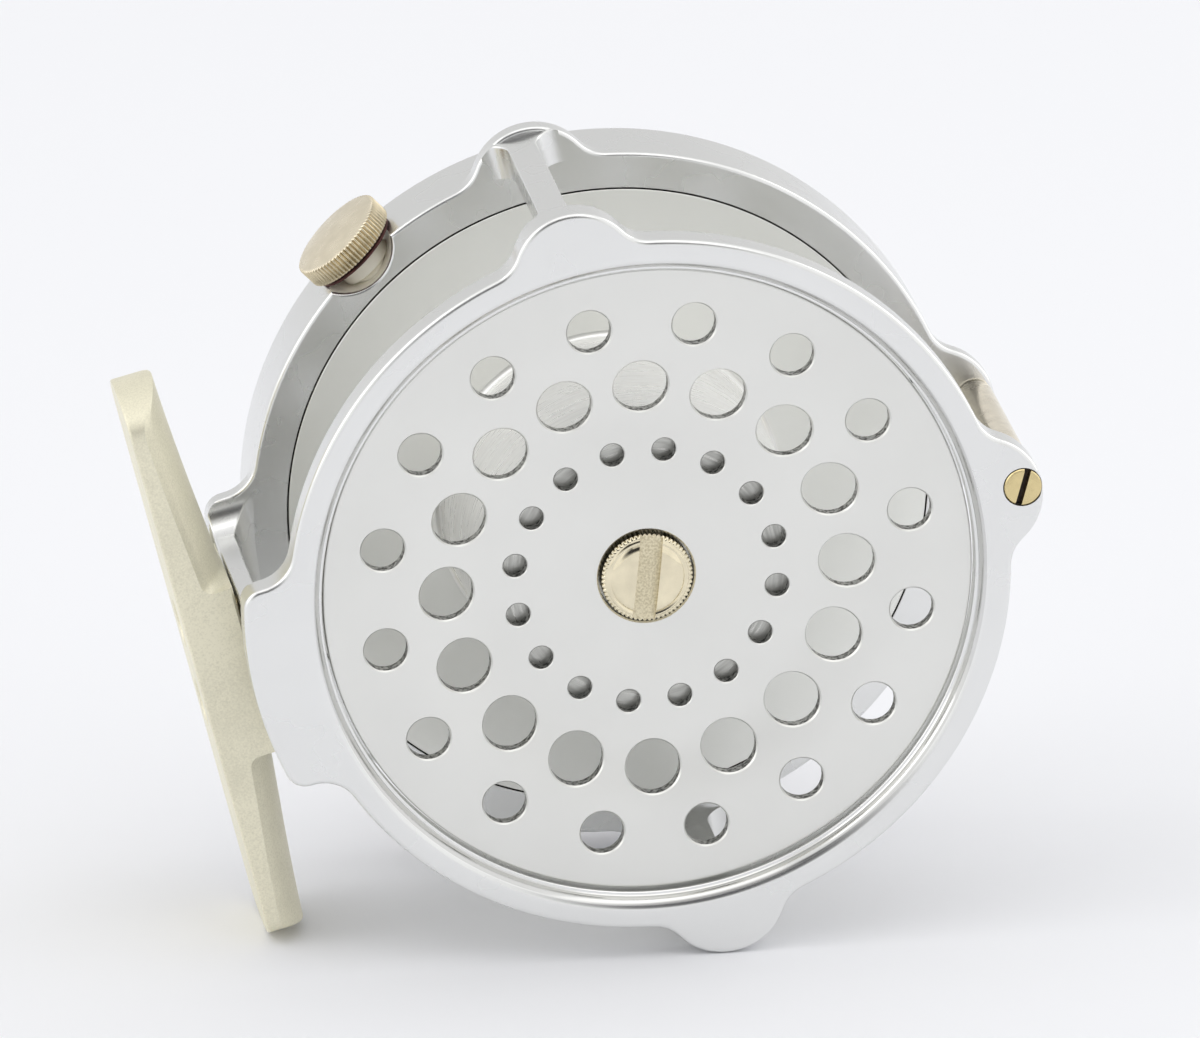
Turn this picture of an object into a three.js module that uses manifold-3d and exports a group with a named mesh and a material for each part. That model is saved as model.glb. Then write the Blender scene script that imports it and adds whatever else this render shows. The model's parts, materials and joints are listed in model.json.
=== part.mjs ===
// A 76 mm fly reel with a perforated drum in a one-piece frame with raised pillars.
// Units are millimetres. The reel stands on its two lower lobes and the lower toe of its foot.
// Inside this file the drum turns about the Y axis: near is -Y, far is +Y, and +Z is up.

import * as THREE from 'three';
import { mergeVertices } from 'three/addons/utils/BufferGeometryUtils.js';
import Module from 'manifold-3d';

const wasm = await Module();
wasm.setup();

// ---------------------------------------------------------------- driving dimensions

const CLEARANCE = 0.3;
const WIDE_SEGMENTS = 48;
const ROUND_SEGMENTS = 32;
const SMALL_SEGMENTS = 24;
const HOLE_SEGMENTS = 20;

// Cage: two ring plates joined by pillars
const RING_RADIUS = 38.1;
const NEAR_RING = { near: -2.23, far: 1.21, bore: 34.55, mouth: 35.8, moulding: 1.4, lip: 0.4, land: 0.3 };
const FAR_PLATE = { near: 26.3, step: 28.5, far: 35.4, bore: 34.3, edge: 1.0 };
const CUP = { bore: 34.0, floorNear: 27.6, floorFar: 28.4 };
const ROOT = 1.0;
const LOBE = { tip: 42.3, corner: 6.58, half: 0, fillet: 4.05 };
const SEAT = { tip: 42.8, corner: 2.2, half: 13, fillet: 4.05 };
const ROLLER_ANGLE = 12.7;
const TOP_PILLAR_ANGLE = 102.7;
const LOW_PILLAR_ANGLE = 282.7;
const SEAT_ANGLE = 193.3;
const PILLAR = { waist: 37.6, outer: 41.4, width: 3.1, flare: 2.7 };
const PILLAR_ROOT = 37.8;
const PILLAR_LEAN = 0.7;

// Foot and its seat bar
const FOOT_ANGLE = 194.2;
const SEAT_BAR = { waist: 39.3, outer: 41.4, width: 17.4, flare: 3.0 };
const FOOT = { near: 7.1, far: 21.3, saddleHalf: 9.5, saddle: 41.7, rodFace: 47.75 };
const TOE = { crown: 10.8, crownTop: 41.75, slope: 5.2 };
const UPPER_TOE = { length: 32.3, tipRadius: 9.3 };
const LOWER_TOE = { length: 30.65, tipRadius: 14.9 };
const FOOT_SCREW = { offset: 4.6, head: 2.3, shank: 1.2, end: 39.5, countersink: 1.2, sunk: 0.25 };
const FOOT_SCREW_SLOT = { width: 0.6, depth: 0.6, length: 6 };

// Line roller between the two lobes on the line side
const ROLLER = { axis: 40.18, radius: 1.97, screw: 1.0, screwEnd: 28.1 };
const ROLLER_HEAD = { radius: 1.92, top: -2.5, base: -0.9, edge: 0.2 };
const ROLLER_SLOT = { width: 0.66, depth: 0.6, length: 6, lean: 15 };

// Drum
const DRUM = { radius: 34.26, plate: 1.45, arbor: 17.9, arborBore: 16.3 };
const FAR_FLANGE = { radius: 33.95, thickness: 1.0 };
const DISH = { start: 27.2, middle: 21.15, middleDepth: 0.86, end: 16.5, depth: 1.25, back: 1.0 };
const HOLE_RINGS = [
  { radius: 28.34, hole: 2.3, first: 102.7 },
  { radius: 21.15, hole: 2.88, first: 91.8 },
  { radius: 13.97, hole: 1.265, first: 104.9 },
];
const HOLES_PER_RING = 16;
const HUB = { recess: 5.26, recessDepth: 3.6, radius: 7.4, far: 10.0, web: 0.6 };
const CAP = { radius: 4.66, near: 0.35, base: 3.3, crown: 0.35, flutes: 24, flute: 0.25, stud: 6 };
const CAP_EDGE = { inset: 1.0, bevel: 0.5 };
const CAP_SLOT = { width: 2.4, depth: 0.8, length: 14, lean: -5.5 };

// Spindle and its two ball bearings
const SPINDLE = { radius: 3.0, near: 5.2, far: 33.2, tapped: 1.9, nearTap: 5.2, farTap: 6.2 };
const HOUSING = { bore: 8.0, radius: 9.5, near: 11.2 };
const BEARING = { outer: 7.7, inner: 3.3, width: 4.76, pitch: 5.6, ball: 1.0, groove: 1.3 };
const BEARING_LAND = { inner: 5.0, outer: 6.2 };
const BALL_CAGE = { half: 0.25, reach: 1.8 };
const BEARING_CENTRES = { near: 14.6, far: 25.0 };
const BALLS = 8;

// Check: ratchet wheel, pawl and spring between the cup's floor and the handle plate
const REGULATOR_ANGLE = 134.0;
const REGULATOR_DEPTH = 30.3;
const RATCHET = { teeth: 24, tip: 9.0, root: 8.0, near: 29.2, far: 31.4, rise: 0.42, fall: 0.58 };
const PAWL = { pivotRadius: 11.4, pivotOffset: 9.5, near: 29.4, far: 31.2, eye: 2.4, pin: 1.0 };
const PAWL_NOSE = { half: 0.25, shoulder: 1.5, reach: 1.2, back: 2.2, backHalf: 1.2 };
const PAWL_PIN = { start: 27.7, head: 1.7, base: 31.5, far: 32.1 };
const SPRING = { radius: 1.1, wire: 0.22, turns: 5, stepsPerTurn: 9, inner: 14.4, outer: 21.9 };
const SLIDER = { inner: 22.2, outer: 27.2, half: 2.0, near: 28.7, far: 31.9, wall: 0.8 };
const GUIDE = { inner: 20.5, outer: 28.5, thickness: 0.9, far: 30.9 };

// Regulator: knob, washer, stem and bush on the rim of the far plate
const SCALLOP = { radius: 4.9, centre: 40.2 };
const BUSH = { radius: 2.4, bore: 1.75, inner: 33.9, outer: 35.6 };
const STEM = { thread: 0.9, journal: 1.45, inner: 23.2, shoulder: 31.6 };
const WASHER = { radius: 4.9, bore: 1.75, inner: 38.0, outer: 38.25 };
const KNOB = { radius: 5.5, inner: 38.5, outer: 40.85, dome: 0.5, flutes: 32, flute: 0.3 };
const KNOB_EDGE = { foot: 0.3, footRise: 0.4, over: 0.1, top: 0.5, topRise: 0.1, crown: 2, crownRise: 0.3 };
const KNOB_SOCKET = { radius: 1.75, cover: 0.9 };

// Handle plate and what it carries
const HANDLE_PLATE = { radius: 33.65, near: 32.6, far: 34.6, boss: 8.0, bossFar: 36.0, edge: 0.4 };
const PLATE_BOSS = { foot: 1.2, footRise: 0.5, edge: 0.3 };
const PLATE_GROOVE = { outer: 31.25, middle: 30.85, inner: 29.85, depth: 0.5 };
const PLATE_SCREW = { head: 4.4, seat: 35.1, far: 36.9, shank: 1.6, start: 27.7, edge: 0.3 };
const PLATE_SCREW_SLOT = { width: 1.2, depth: 0.7, length: 13 };
const HANDLE_ANGLE = 270;
const HANDLE = { orbit: 26.6, pin: 1.5, length: 19.0, start: 36.1, pinProud: 0.6 };
const GRIP = { base: 4.3, waist: 3.5, belly: 4.9, shoulder: 4.2, end: 3.1 };
const GRIP_AT = { base: 0.5, waist: 5, belly: 6, shoulder: 1.2 };
const GRIP_BREAK = 0.4;
const HANDLE_COLLAR = { radius: 3.2, far: 35.8 };
const HANDLE_SCREW = { radius: 2.3, base: 56.0, far: 56.9, shank: 0.8, reach: 3.2, edge: 0.4, crown: 0.5, tap: 4 };
const HANDLE_SCREW_SLOT = { width: 0.6, depth: 0.4, length: 7 };
const COUNTERWEIGHT = { radius: 6.2, near: 34.9, far: 37.3, rivet: 1.5, edge: 0.6 };

// ---------------------------------------------------------------- looks

const FINISH = {
  silver: { color: 0xd9dbda, roughness: 0.35, metalness: 1.0 },
  champagne: { color: 0xd7d0b4, roughness: 0.5, metalness: 0.8 },
  nickel: { color: 0xcfc6ae, roughness: 0.3, metalness: 1.0 },
  gold: { color: 0xd2b469, roughness: 0.25, metalness: 1.0 },
  steel: { color: 0xb9bcbf, roughness: 0.25, metalness: 1.0 },
  fibre: { color: 0x7a2222, roughness: 0.8, metalness: 0.0 },
  wood: { color: 0x4a2318, roughness: 0.4, metalness: 0.0 },
};

const reel = new THREE.Group();

function addPiece(name, geometry, finish) {
  const mesh = new THREE.Mesh(geometry, new THREE.MeshStandardMaterial(FINISH[finish]));
  mesh.name = name;
  reel.add(mesh);
}

// ---------------------------------------------------------------- solids and shapes

const radians = THREE.MathUtils.degToRad;

function toSolid(geometry) {
  const plain = geometry.index ? geometry.toNonIndexed() : geometry.clone();
  plain.deleteAttribute('normal');
  plain.deleteAttribute('uv');
  const merged = mergeVertices(plain, 1e-5);
  return new wasm.Manifold(new wasm.Mesh({
    numProp: 3,
    vertProperties: new Float32Array(merged.attributes.position.array),
    triVerts: new Uint32Array(merged.index.array),
  }));
}

function toGeometry(solid) {
  const mesh = solid.getMesh();
  const geometry = new THREE.BufferGeometry();
  geometry.setAttribute('position', new THREE.BufferAttribute(mesh.vertProperties, 3));
  geometry.setIndex(new THREE.BufferAttribute(mesh.triVerts, 1));
  geometry.computeVertexNormals();
  return geometry;
}

function joined(solids) {
  return solids.reduce((whole, solid) => whole.add(solid));
}

// A solid of revolution about Y. Points are [radius, y], anticlockwise around the section.
function turned(points, segments = WIDE_SEGMENTS) {
  const outline = points.map(([radius, y]) => new THREE.Vector2(radius, y));
  if (points[0][0] > 0) {
    outline.push(outline[0].clone());
  }
  return new THREE.LatheGeometry(outline, segments);
}

function ring(bore, radius, near, far, segments = WIDE_SEGMENTS) {
  return turned([[bore, near], [radius, near], [radius, far], [bore, far]], segments);
}

function rod(radius, near, far, segments = ROUND_SEGMENTS) {
  return turned([[0, near], [radius, near], [radius, far], [0, far]], segments);
}

// A flat shape drawn in the XZ plane, made into a plate from y = near to y = far.
function plate(shape, near, far, curveSegments = 24) {
  const geometry = new THREE.ExtrudeGeometry(shape, {
    depth: far - near, bevelEnabled: false, curveSegments,
  });
  geometry.rotateX(Math.PI / 2);
  geometry.translate(0, far, 0);
  return geometry;
}

function arcPoints(centre, radius, start, end, steps) {
  const points = [];
  for (let i = 0; i <= steps; i += 1) {
    const angle = start + ((end - start) * i) / steps;
    points.push([centre[0] + radius * Math.cos(angle), centre[1] + radius * Math.sin(angle)]);
  }
  return points;
}

// Turns a piece modelled along +X, at angle 0, to its real angle about the drum axis.
function toAngle(geometry, degrees) {
  geometry.rotateY(-radians(degrees));
  return geometry;
}

function polar(radius, degrees) {
  return [radius * Math.cos(radians(degrees)), radius * Math.sin(radians(degrees))];
}

// A box at angle 0: radius along X, tangent along Z, depth along Y.
function radialBox(inner, outer, halfTangent, near, far) {
  const geometry = new THREE.BoxGeometry(outer - inner, far - near, 2 * halfTangent);
  geometry.translate((inner + outer) / 2, (near + far) / 2, 0);
  return geometry;
}

// A solid of revolution about a radial line at angle 0, at the given depth.
function radialTurned(points, depth, segments = ROUND_SEGMENTS) {
  const geometry = turned(points, segments);
  geometry.rotateZ(-Math.PI / 2);
  geometry.translate(0, depth, 0);
  return geometry;
}

function flutedRod(radius, groove, flutes, near, far, bore) {
  const shape = new THREE.Shape();
  const steps = flutes * 2;
  for (let i = 0; i < steps; i += 1) {
    const reach = i % 2 === 0 ? radius : radius - groove;
    const angle = (2 * Math.PI * i) / steps;
    const place = [reach * Math.cos(angle), reach * Math.sin(angle)];
    if (i === 0) {
      shape.moveTo(...place);
    } else {
      shape.lineTo(...place);
    }
  }
  shape.closePath();
  if (bore > 0) {
    const hole = new THREE.Path();
    hole.absarc(0, 0, bore, 0, 2 * Math.PI, true);
    shape.holes.push(hole);
  }
  return plate(shape, near, far, 12);
}

// ---------------------------------------------------------------- cage

// Adds one raised stretch to the ring's outline: fillet, corner, tip arc, corner, fillet.
function addRaised(path, centre, raised) {
  const cornerCentre = raised.tip - raised.corner;
  const filletCentre = RING_RADIUS + raised.fillet;
  const reach = raised.corner + raised.fillet;
  const spread = Math.acos(
    (filletCentre ** 2 + cornerCentre ** 2 - reach ** 2) / (2 * filletCentre * cornerCentre),
  );
  const half = radians(raised.half);
  const middle = radians(centre);
  for (const side of [-1, 1]) {
    const cornerAngle = middle + side * half;
    const filletAngle = middle + side * (half + spread);
    const corner = [cornerCentre * Math.cos(cornerAngle), cornerCentre * Math.sin(cornerAngle)];
    const fillet = [filletCentre * Math.cos(filletAngle), filletCentre * Math.sin(filletAngle)];
    const toCorner = Math.atan2(corner[1] - fillet[1], corner[0] - fillet[0]);
    const toRing = Math.atan2(-fillet[1], -fillet[0]);
    const toFillet = toCorner + Math.PI;
    if (side < 0) {
      path.absarc(...fillet, raised.fillet, toRing, toCorner, true);
      path.absarc(...corner, raised.corner, toFillet, cornerAngle, false);
    } else {
      path.absarc(...corner, raised.corner, cornerAngle, toFillet, false);
      path.absarc(...fillet, raised.fillet, toCorner, toRing, true);
    }
    if (side < 0 && half > 0) {
      path.absarc(0, 0, raised.tip, cornerAngle, middle + half, false);
    }
  }
}

const RAISED = [
  [ROLLER_ANGLE, LOBE],
  [TOP_PILLAR_ANGLE, LOBE],
  [SEAT_ANGLE, SEAT],
  [LOW_PILLAR_ANGLE, LOBE],
];

function ringOutline() {
  const shape = new THREE.Shape();
  for (const [angle, raised] of RAISED) {
    addRaised(shape, angle, raised);
  }
  shape.closePath();
  return shape;
}

// The outline above joins its raised stretches with chords, so a plain disc fills the arcs.
function lobedPlate(near, far) {
  const raised = toSolid(plate(ringOutline(), near, far, 3));
  return raised.add(toSolid(rod(RING_RADIUS, near, far, WIDE_SEGMENTS)));
}

// Half of a bar's side, as [offset, depth] points: it widens into each plate with a quarter round.
function flaredSide(half, flare) {
  const near = NEAR_RING.far + flare;
  const far = FAR_PLATE.near - flare;
  const wide = half + flare;
  return [
    [wide, NEAR_RING.far - ROOT],
    ...arcPoints([wide, near], flare, 1.5 * Math.PI, Math.PI, 4),
    ...arcPoints([wide, far], flare, Math.PI, 0.5 * Math.PI, 4),
    [wide, FAR_PLATE.near + ROOT],
  ];
}

// Fills a closed outline of [x, depth] points and extrudes it along the tangent, centred.
function tangentExtrusion(points, half) {
  const shape = new THREE.Shape(points.map(([x, depth]) => new THREE.Vector2(x, depth)));
  const geometry = new THREE.ExtrudeGeometry(shape, { depth: 2 * half, bevelEnabled: false });
  geometry.translate(0, 0, -half);
  return toSolid(geometry);
}

// A pillar or the seat bar: its sides and its inner face both widen into the two plates.
function pillar(degrees, { waist, outer, width, flare }) {
  const right = flaredSide(width / 2, flare);
  const left = right.map(([offset, depth]) => [-offset, depth]).reverse();
  const sides = new THREE.Shape([...right, ...left].map((point) => new THREE.Vector2(...point)));
  const across = new THREE.ExtrudeGeometry(sides, { depth: outer - PILLAR_ROOT + 1, bevelEnabled: false });
  // The shape's x is the tangent and its y is the depth; it is extruded along the radius.
  const basis = new THREE.Matrix4().makeBasis(
    new THREE.Vector3(0, 0, 1), new THREE.Vector3(0, 1, 0), new THREE.Vector3(-1, 0, 0),
  );
  across.applyMatrix4(basis);
  across.translate(outer, 0, 0);
  const inner = flaredSide(0, flare).map(([offset, depth]) => [waist - offset, depth]);
  const face = [[outer + 1, FAR_PLATE.near + ROOT], [outer + 1, NEAR_RING.far - ROOT]];
  const bar = toSolid(across).intersect(tangentExtrusion([...inner, ...face], width / 2 + flare));
  return bar.rotate([0, -degrees, 0]);
}

function makeNearRing() {
  const { near, far, bore, mouth, moulding, lip, land } = NEAR_RING;
  const cut = turned([
    [0, near - 1], [mouth, near - 1], [mouth, near], [bore + lip, near + moulding],
    [bore, near + moulding + land], [bore, far + 1], [0, far + 1],
  ], WIDE_SEGMENTS);
  return lobedPlate(near, far).subtract(toSolid(cut));
}

function makeFarPlate() {
  const { near, step, far, bore, edge } = FAR_PLATE;
  const body = turned([
    [HOUSING.bore, HOUSING.near], [HOUSING.radius, HOUSING.near], [HOUSING.radius, CUP.floorNear],
    [bore, CUP.floorNear], [bore, near], [RING_RADIUS, near],
    ...arcPoints([RING_RADIUS - edge, far - edge], edge, 0, Math.PI / 2, 3),
    [CUP.bore, far], [CUP.bore, CUP.floorFar], [HOUSING.bore, CUP.floorFar],
  ], WIDE_SEGMENTS);
  const middle = toSolid(rod(RING_RADIUS - 1, near - 1, step + 1, WIDE_SEGMENTS));
  const flange = lobedPlate(near, step).subtract(middle);
  return toSolid(body).add(flange);
}

function makeCage() {
  const guideOffset = SLIDER.half + CLEARANCE;
  const guides = [-1, 1].map((side) => {
    const floor = (CUP.floorNear + CUP.floorFar) / 2;
    const bar = radialBox(GUIDE.inner, GUIDE.outer, GUIDE.thickness / 2, floor, GUIDE.far);
    bar.translate(0, 0, side * (guideOffset + GUIDE.thickness / 2));
    return toSolid(toAngle(bar, REGULATOR_ANGLE));
  });
  const bars = joined([
    pillar(TOP_PILLAR_ANGLE + PILLAR_LEAN, PILLAR),
    pillar(LOW_PILLAR_ANGLE + PILLAR_LEAN, PILLAR),
    pillar(FOOT_ANGLE, SEAT_BAR),
  ]);
  const barSpace = lobedPlate(NEAR_RING.near, FAR_PLATE.far)
    .subtract(toSolid(rod(PILLAR_ROOT, NEAR_RING.near - 1, FAR_PLATE.far + 1, WIDE_SEGMENTS)));
  const whole = joined([
    makeNearRing(),
    makeFarPlate(),
    bars.intersect(barSpace),
    ...guides,
  ]);
  const scallop = rod(SCALLOP.radius, FAR_PLATE.near - 1, FAR_PLATE.far + 1, ROUND_SEGMENTS);
  scallop.translate(SCALLOP.centre, 0, 0);
  const holeRadius = BUSH.radius + CLEARANCE;
  const holeStart = BUSH.inner - CLEARANCE;
  const bushHole = radialTurned([
    [0, holeStart], [holeRadius, holeStart], [holeRadius, BUSH.outer], [0, BUSH.outer],
  ], REGULATOR_DEPTH, HOLE_SEGMENTS);
  const footHoles = [-1, 1].map((side) => {
    const hole = radialTurned([
      [0, PILLAR_ROOT - 1], [FOOT_SCREW.shank + CLEARANCE, PILLAR_ROOT - 1],
      [FOOT_SCREW.shank + CLEARANCE, SEAT_BAR.outer + 1], [0, SEAT_BAR.outer + 1],
    ], (FOOT.near + FOOT.far) / 2, HOLE_SEGMENTS);
    hole.translate(0, 0, side * FOOT_SCREW.offset);
    return toSolid(toAngle(hole, FOOT_ANGLE));
  });
  const rollerHole = turned([
    [0, NEAR_RING.near - 1],
    [ROLLER_HEAD.radius + CLEARANCE, NEAR_RING.near - 1],
    [ROLLER_HEAD.radius + CLEARANCE, ROLLER_HEAD.base + CLEARANCE],
    [ROLLER.screw + CLEARANCE, ROLLER_HEAD.base + CLEARANCE],
    [ROLLER.screw + CLEARANCE, ROLLER.screwEnd + CLEARANCE],
    [0, ROLLER.screwEnd + CLEARANCE],
  ], SMALL_SEGMENTS);
  const [rollerX, rollerZ] = polar(ROLLER.axis, ROLLER_ANGLE);
  rollerHole.translate(rollerX, 0, rollerZ);
  const pinHole = rod(PAWL.pin + CLEARANCE, CUP.floorNear - 0.5, CUP.floorFar + 0.5, HOLE_SEGMENTS);
  pinHole.translate(PAWL.pivotRadius, 0, -PAWL.pivotOffset);
  return [
    toSolid(toAngle(scallop, REGULATOR_ANGLE)),
    toSolid(toAngle(bushHole, REGULATOR_ANGLE)),
    ...footHoles,
    toSolid(rollerHole),
    toSolid(toAngle(pinHole, REGULATOR_ANGLE)),
  ].reduce((solid, cut) => solid.subtract(cut), whole);
}

addPiece('frame_cage', toGeometry(makeCage()), 'silver');

// ---------------------------------------------------------------- foot

const FOOT_MIDDLE = (FOOT.near + FOOT.far) / 2;

// The foot's plan, seen along the radius: straight sides and round toe tips.
function footPlan() {
  const half = (FOOT.far - FOOT.near) / 2;
  const plan = new THREE.Shape();
  for (const [toe, side] of [[LOWER_TOE, 1], [UPPER_TOE, -1]]) {
    const reach = Math.asin(half / toe.tipRadius);
    const middle = side > 0 ? 0 : Math.PI;
    const centre = side * (toe.length - toe.tipRadius);
    plan.absarc(centre, 0, toe.tipRadius, middle - reach, middle + reach, false);
  }
  plan.closePath();
  const geometry = new THREE.ExtrudeGeometry(plan, {
    depth: FOOT.rodFace - FOOT.saddle, bevelEnabled: false, curveSegments: 10,
  });
  const basis = new THREE.Matrix4().makeBasis(
    new THREE.Vector3(0, 0, 1), new THREE.Vector3(0, 1, 0), new THREE.Vector3(-1, 0, 0),
  );
  geometry.applyMatrix4(basis);
  geometry.translate(FOOT.rodFace, FOOT_MIDDLE, 0);
  return toSolid(geometry);
}

// A toe's crown is part of a cylinder that slopes towards the rod at its tip.
function toeCrown(side) {
  const reach = 60;
  const cylinder = new THREE.CylinderGeometry(TOE.crown, TOE.crown, reach, 96);
  cylinder.rotateX(Math.PI / 2);
  cylinder.translate(TOE.crown, 0, (side * reach) / 2);
  cylinder.rotateY(side * radians(TOE.slope));
  cylinder.translate(TOE.crownTop, FOOT_MIDDLE, side * (FOOT.saddleHalf - 1));
  return toSolid(cylinder);
}

function makeFoot() {
  const saddle = toSolid(radialBox(
    FOOT.saddle - 1, FOOT.rodFace + 1, FOOT.saddleHalf, FOOT.near - 1, FOOT.far + 1,
  ));
  const shaped = footPlan().intersect(joined([saddle, toeCrown(-1), toeCrown(1)]));
  const holes = [-1, 1].map((side) => {
    const { shank, head, countersink } = FOOT_SCREW;
    const hole = radialTurned([
      [0, FOOT.saddle - 1],
      [shank + CLEARANCE, FOOT.saddle - 1],
      [shank + CLEARANCE, FOOT.rodFace - countersink - CLEARANCE],
      [head + CLEARANCE, FOOT.rodFace - CLEARANCE],
      [head + CLEARANCE, FOOT.rodFace + 1],
      [0, FOOT.rodFace + 1],
    ], FOOT_MIDDLE, SMALL_SEGMENTS);
    hole.translate(0, 0, side * FOOT_SCREW.offset);
    return toSolid(hole);
  });
  return holes.reduce((solid, hole) => solid.subtract(hole), shaped);
}

addPiece('reel_foot', toAngle(toGeometry(makeFoot()), FOOT_ANGLE), 'champagne');

function makeFootScrew(side) {
  const { shank, head, countersink, end, sunk } = FOOT_SCREW;
  const { width, depth, length } = FOOT_SCREW_SLOT;
  const top = FOOT.rodFace - sunk;
  const blank = radialTurned([
    [0, end], [shank, end], [shank, top - countersink], [head, top], [0, top],
  ], FOOT_MIDDLE, SMALL_SEGMENTS);
  blank.translate(0, 0, side * FOOT_SCREW.offset);
  const slotNear = FOOT_MIDDLE - width / 2;
  const slot = radialBox(top - depth, top + depth, length / 2, slotNear, slotNear + width);
  slot.translate(0, 0, side * FOOT_SCREW.offset);
  return toSolid(blank).subtract(toSolid(slot));
}

addPiece('foot_screw_upper', toAngle(toGeometry(makeFootScrew(-1)), FOOT_ANGLE), 'gold');
addPiece('foot_screw_lower', toAngle(toGeometry(makeFootScrew(1)), FOOT_ANGLE), 'gold');

// ---------------------------------------------------------------- line roller

function atRoller(geometry) {
  const [x, z] = polar(ROLLER.axis, ROLLER_ANGLE);
  geometry.translate(x, 0, z);
  return geometry;
}

function makeRollerScrew() {
  const { radius, top, base, edge } = ROLLER_HEAD;
  const { screw, screwEnd } = ROLLER;
  const blank = turned([
    [0, top], [radius - edge, top], [radius, top + edge], [radius, base],
    [screw, base], [screw, screwEnd], [0, screwEnd],
  ], SMALL_SEGMENTS);
  const slot = new THREE.BoxGeometry(ROLLER_SLOT.width, 2 * ROLLER_SLOT.depth, ROLLER_SLOT.length);
  slot.rotateY(radians(ROLLER_SLOT.lean));
  slot.translate(0, top, 0);
  return toSolid(blank).subtract(toSolid(slot));
}

addPiece('roller_screw', atRoller(toGeometry(makeRollerScrew())), 'gold');

const ROLLER_ENDS = { near: NEAR_RING.far + CLEARANCE, far: FAR_PLATE.near - CLEARANCE };
const rollerBore = ROLLER.screw + CLEARANCE;
const rollerSleeve = ring(rollerBore, ROLLER.radius, ROLLER_ENDS.near, ROLLER_ENDS.far, 28);
addPiece('roller_pillar', atRoller(rollerSleeve), 'nickel');

// ---------------------------------------------------------------- drum

function drumSection() {
  const { radius, plate: thickness, arbor, arborBore } = DRUM;
  const hubNear = thickness + DISH.back + HUB.web;
  const flangeFar = FAR_PLATE.near + FAR_FLANGE.thickness;
  return [
    [SPINDLE.radius + CLEARANCE, HUB.recessDepth],
    [HUB.recess, HUB.recessDepth],
    [HUB.recess, DISH.depth],
    [DISH.end, DISH.depth],
    [DISH.middle, DISH.middleDepth],
    [DISH.start, 0],
    [radius, 0],
    [radius, thickness],
    [DISH.start, thickness],
    [arbor, thickness + DISH.back],
    [arbor, FAR_PLATE.near],
    [FAR_FLANGE.radius, FAR_PLATE.near],
    [FAR_FLANGE.radius, flangeFar],
    [arborBore, flangeFar],
    [arborBore, hubNear],
    [HUB.radius, hubNear],
    [HUB.radius, HUB.far],
    [SPINDLE.radius + CLEARANCE, HUB.far],
  ];
}

function makeDrum() {
  let drum = toSolid(turned(drumSection(), WIDE_SEGMENTS));
  for (const { radius, hole, first } of HOLE_RINGS) {
    for (let i = 0; i < HOLES_PER_RING; i += 1) {
      const cutter = rod(hole, -1, 5, hole > 2 ? 12 : 8);
      const [x, z] = polar(radius, first - (i * 360) / HOLES_PER_RING);
      cutter.translate(x, 0, z);
      drum = drum.subtract(toSolid(cutter));
    }
  }
  return drum;
}

addPiece('drum', toGeometry(makeDrum()), 'silver');

function makeDrumCap() {
  const { radius, near, base, crown, flutes, flute, stud } = CAP;
  const crownRadius = radius - CAP_EDGE.inset;
  const shank = SPINDLE.tapped - CLEARANCE;
  const rim = toSolid(flutedRod(radius, flute, flutes, near, base, 0));
  const raised = toSolid(rod(crownRadius, near - crown, near + crown, WIDE_SEGMENTS));
  const bevel = turned([
    [0, near - crown], [crownRadius, near - crown], [radius - CAP_EDGE.bevel, near],
    [radius + 1, near + CAP_EDGE.bevel], [radius + 1, base], [0, base],
  ], WIDE_SEGMENTS);
  const coinSlot = new THREE.BoxGeometry(CAP_SLOT.width, 2 * CAP_SLOT.depth, CAP_SLOT.length);
  coinSlot.rotateY(-radians(CAP_SLOT.lean));
  coinSlot.translate(0, near - crown, 0);
  const head = rim.add(raised).intersect(toSolid(bevel));
  return head.add(toSolid(rod(shank, base - 0.5, base + stud, HOLE_SEGMENTS))).subtract(toSolid(coinSlot));
}

addPiece('drum_cap', toGeometry(makeDrumCap()), 'gold');

// ---------------------------------------------------------------- spindle and bearings

function makeSpindle() {
  const { radius, near, far, tapped, nearTap, farTap } = SPINDLE;
  const blank = rod(radius, near, far, ROUND_SEGMENTS);
  const nearHole = rod(tapped, near - 1, near + nearTap, HOLE_SEGMENTS);
  const farHole = rod(tapped, far - farTap, far + 1, HOLE_SEGMENTS);
  return toSolid(blank).subtract(toSolid(nearHole)).subtract(toSolid(farHole));
}

addPiece('spindle', toGeometry(makeSpindle()), 'steel');

// The side of a race's groove that faces the balls. side is 1 for the outer race, -1 for the inner.
function grooveArc(centre, side) {
  const land = side > 0 ? BEARING_LAND.outer : BEARING_LAND.inner;
  const reach = Math.acos((side * (land - BEARING.pitch)) / BEARING.groove);
  const middle = side > 0 ? 0 : Math.PI;
  return arcPoints([BEARING.pitch, centre], BEARING.groove, middle + reach, middle - reach, 4);
}

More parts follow.
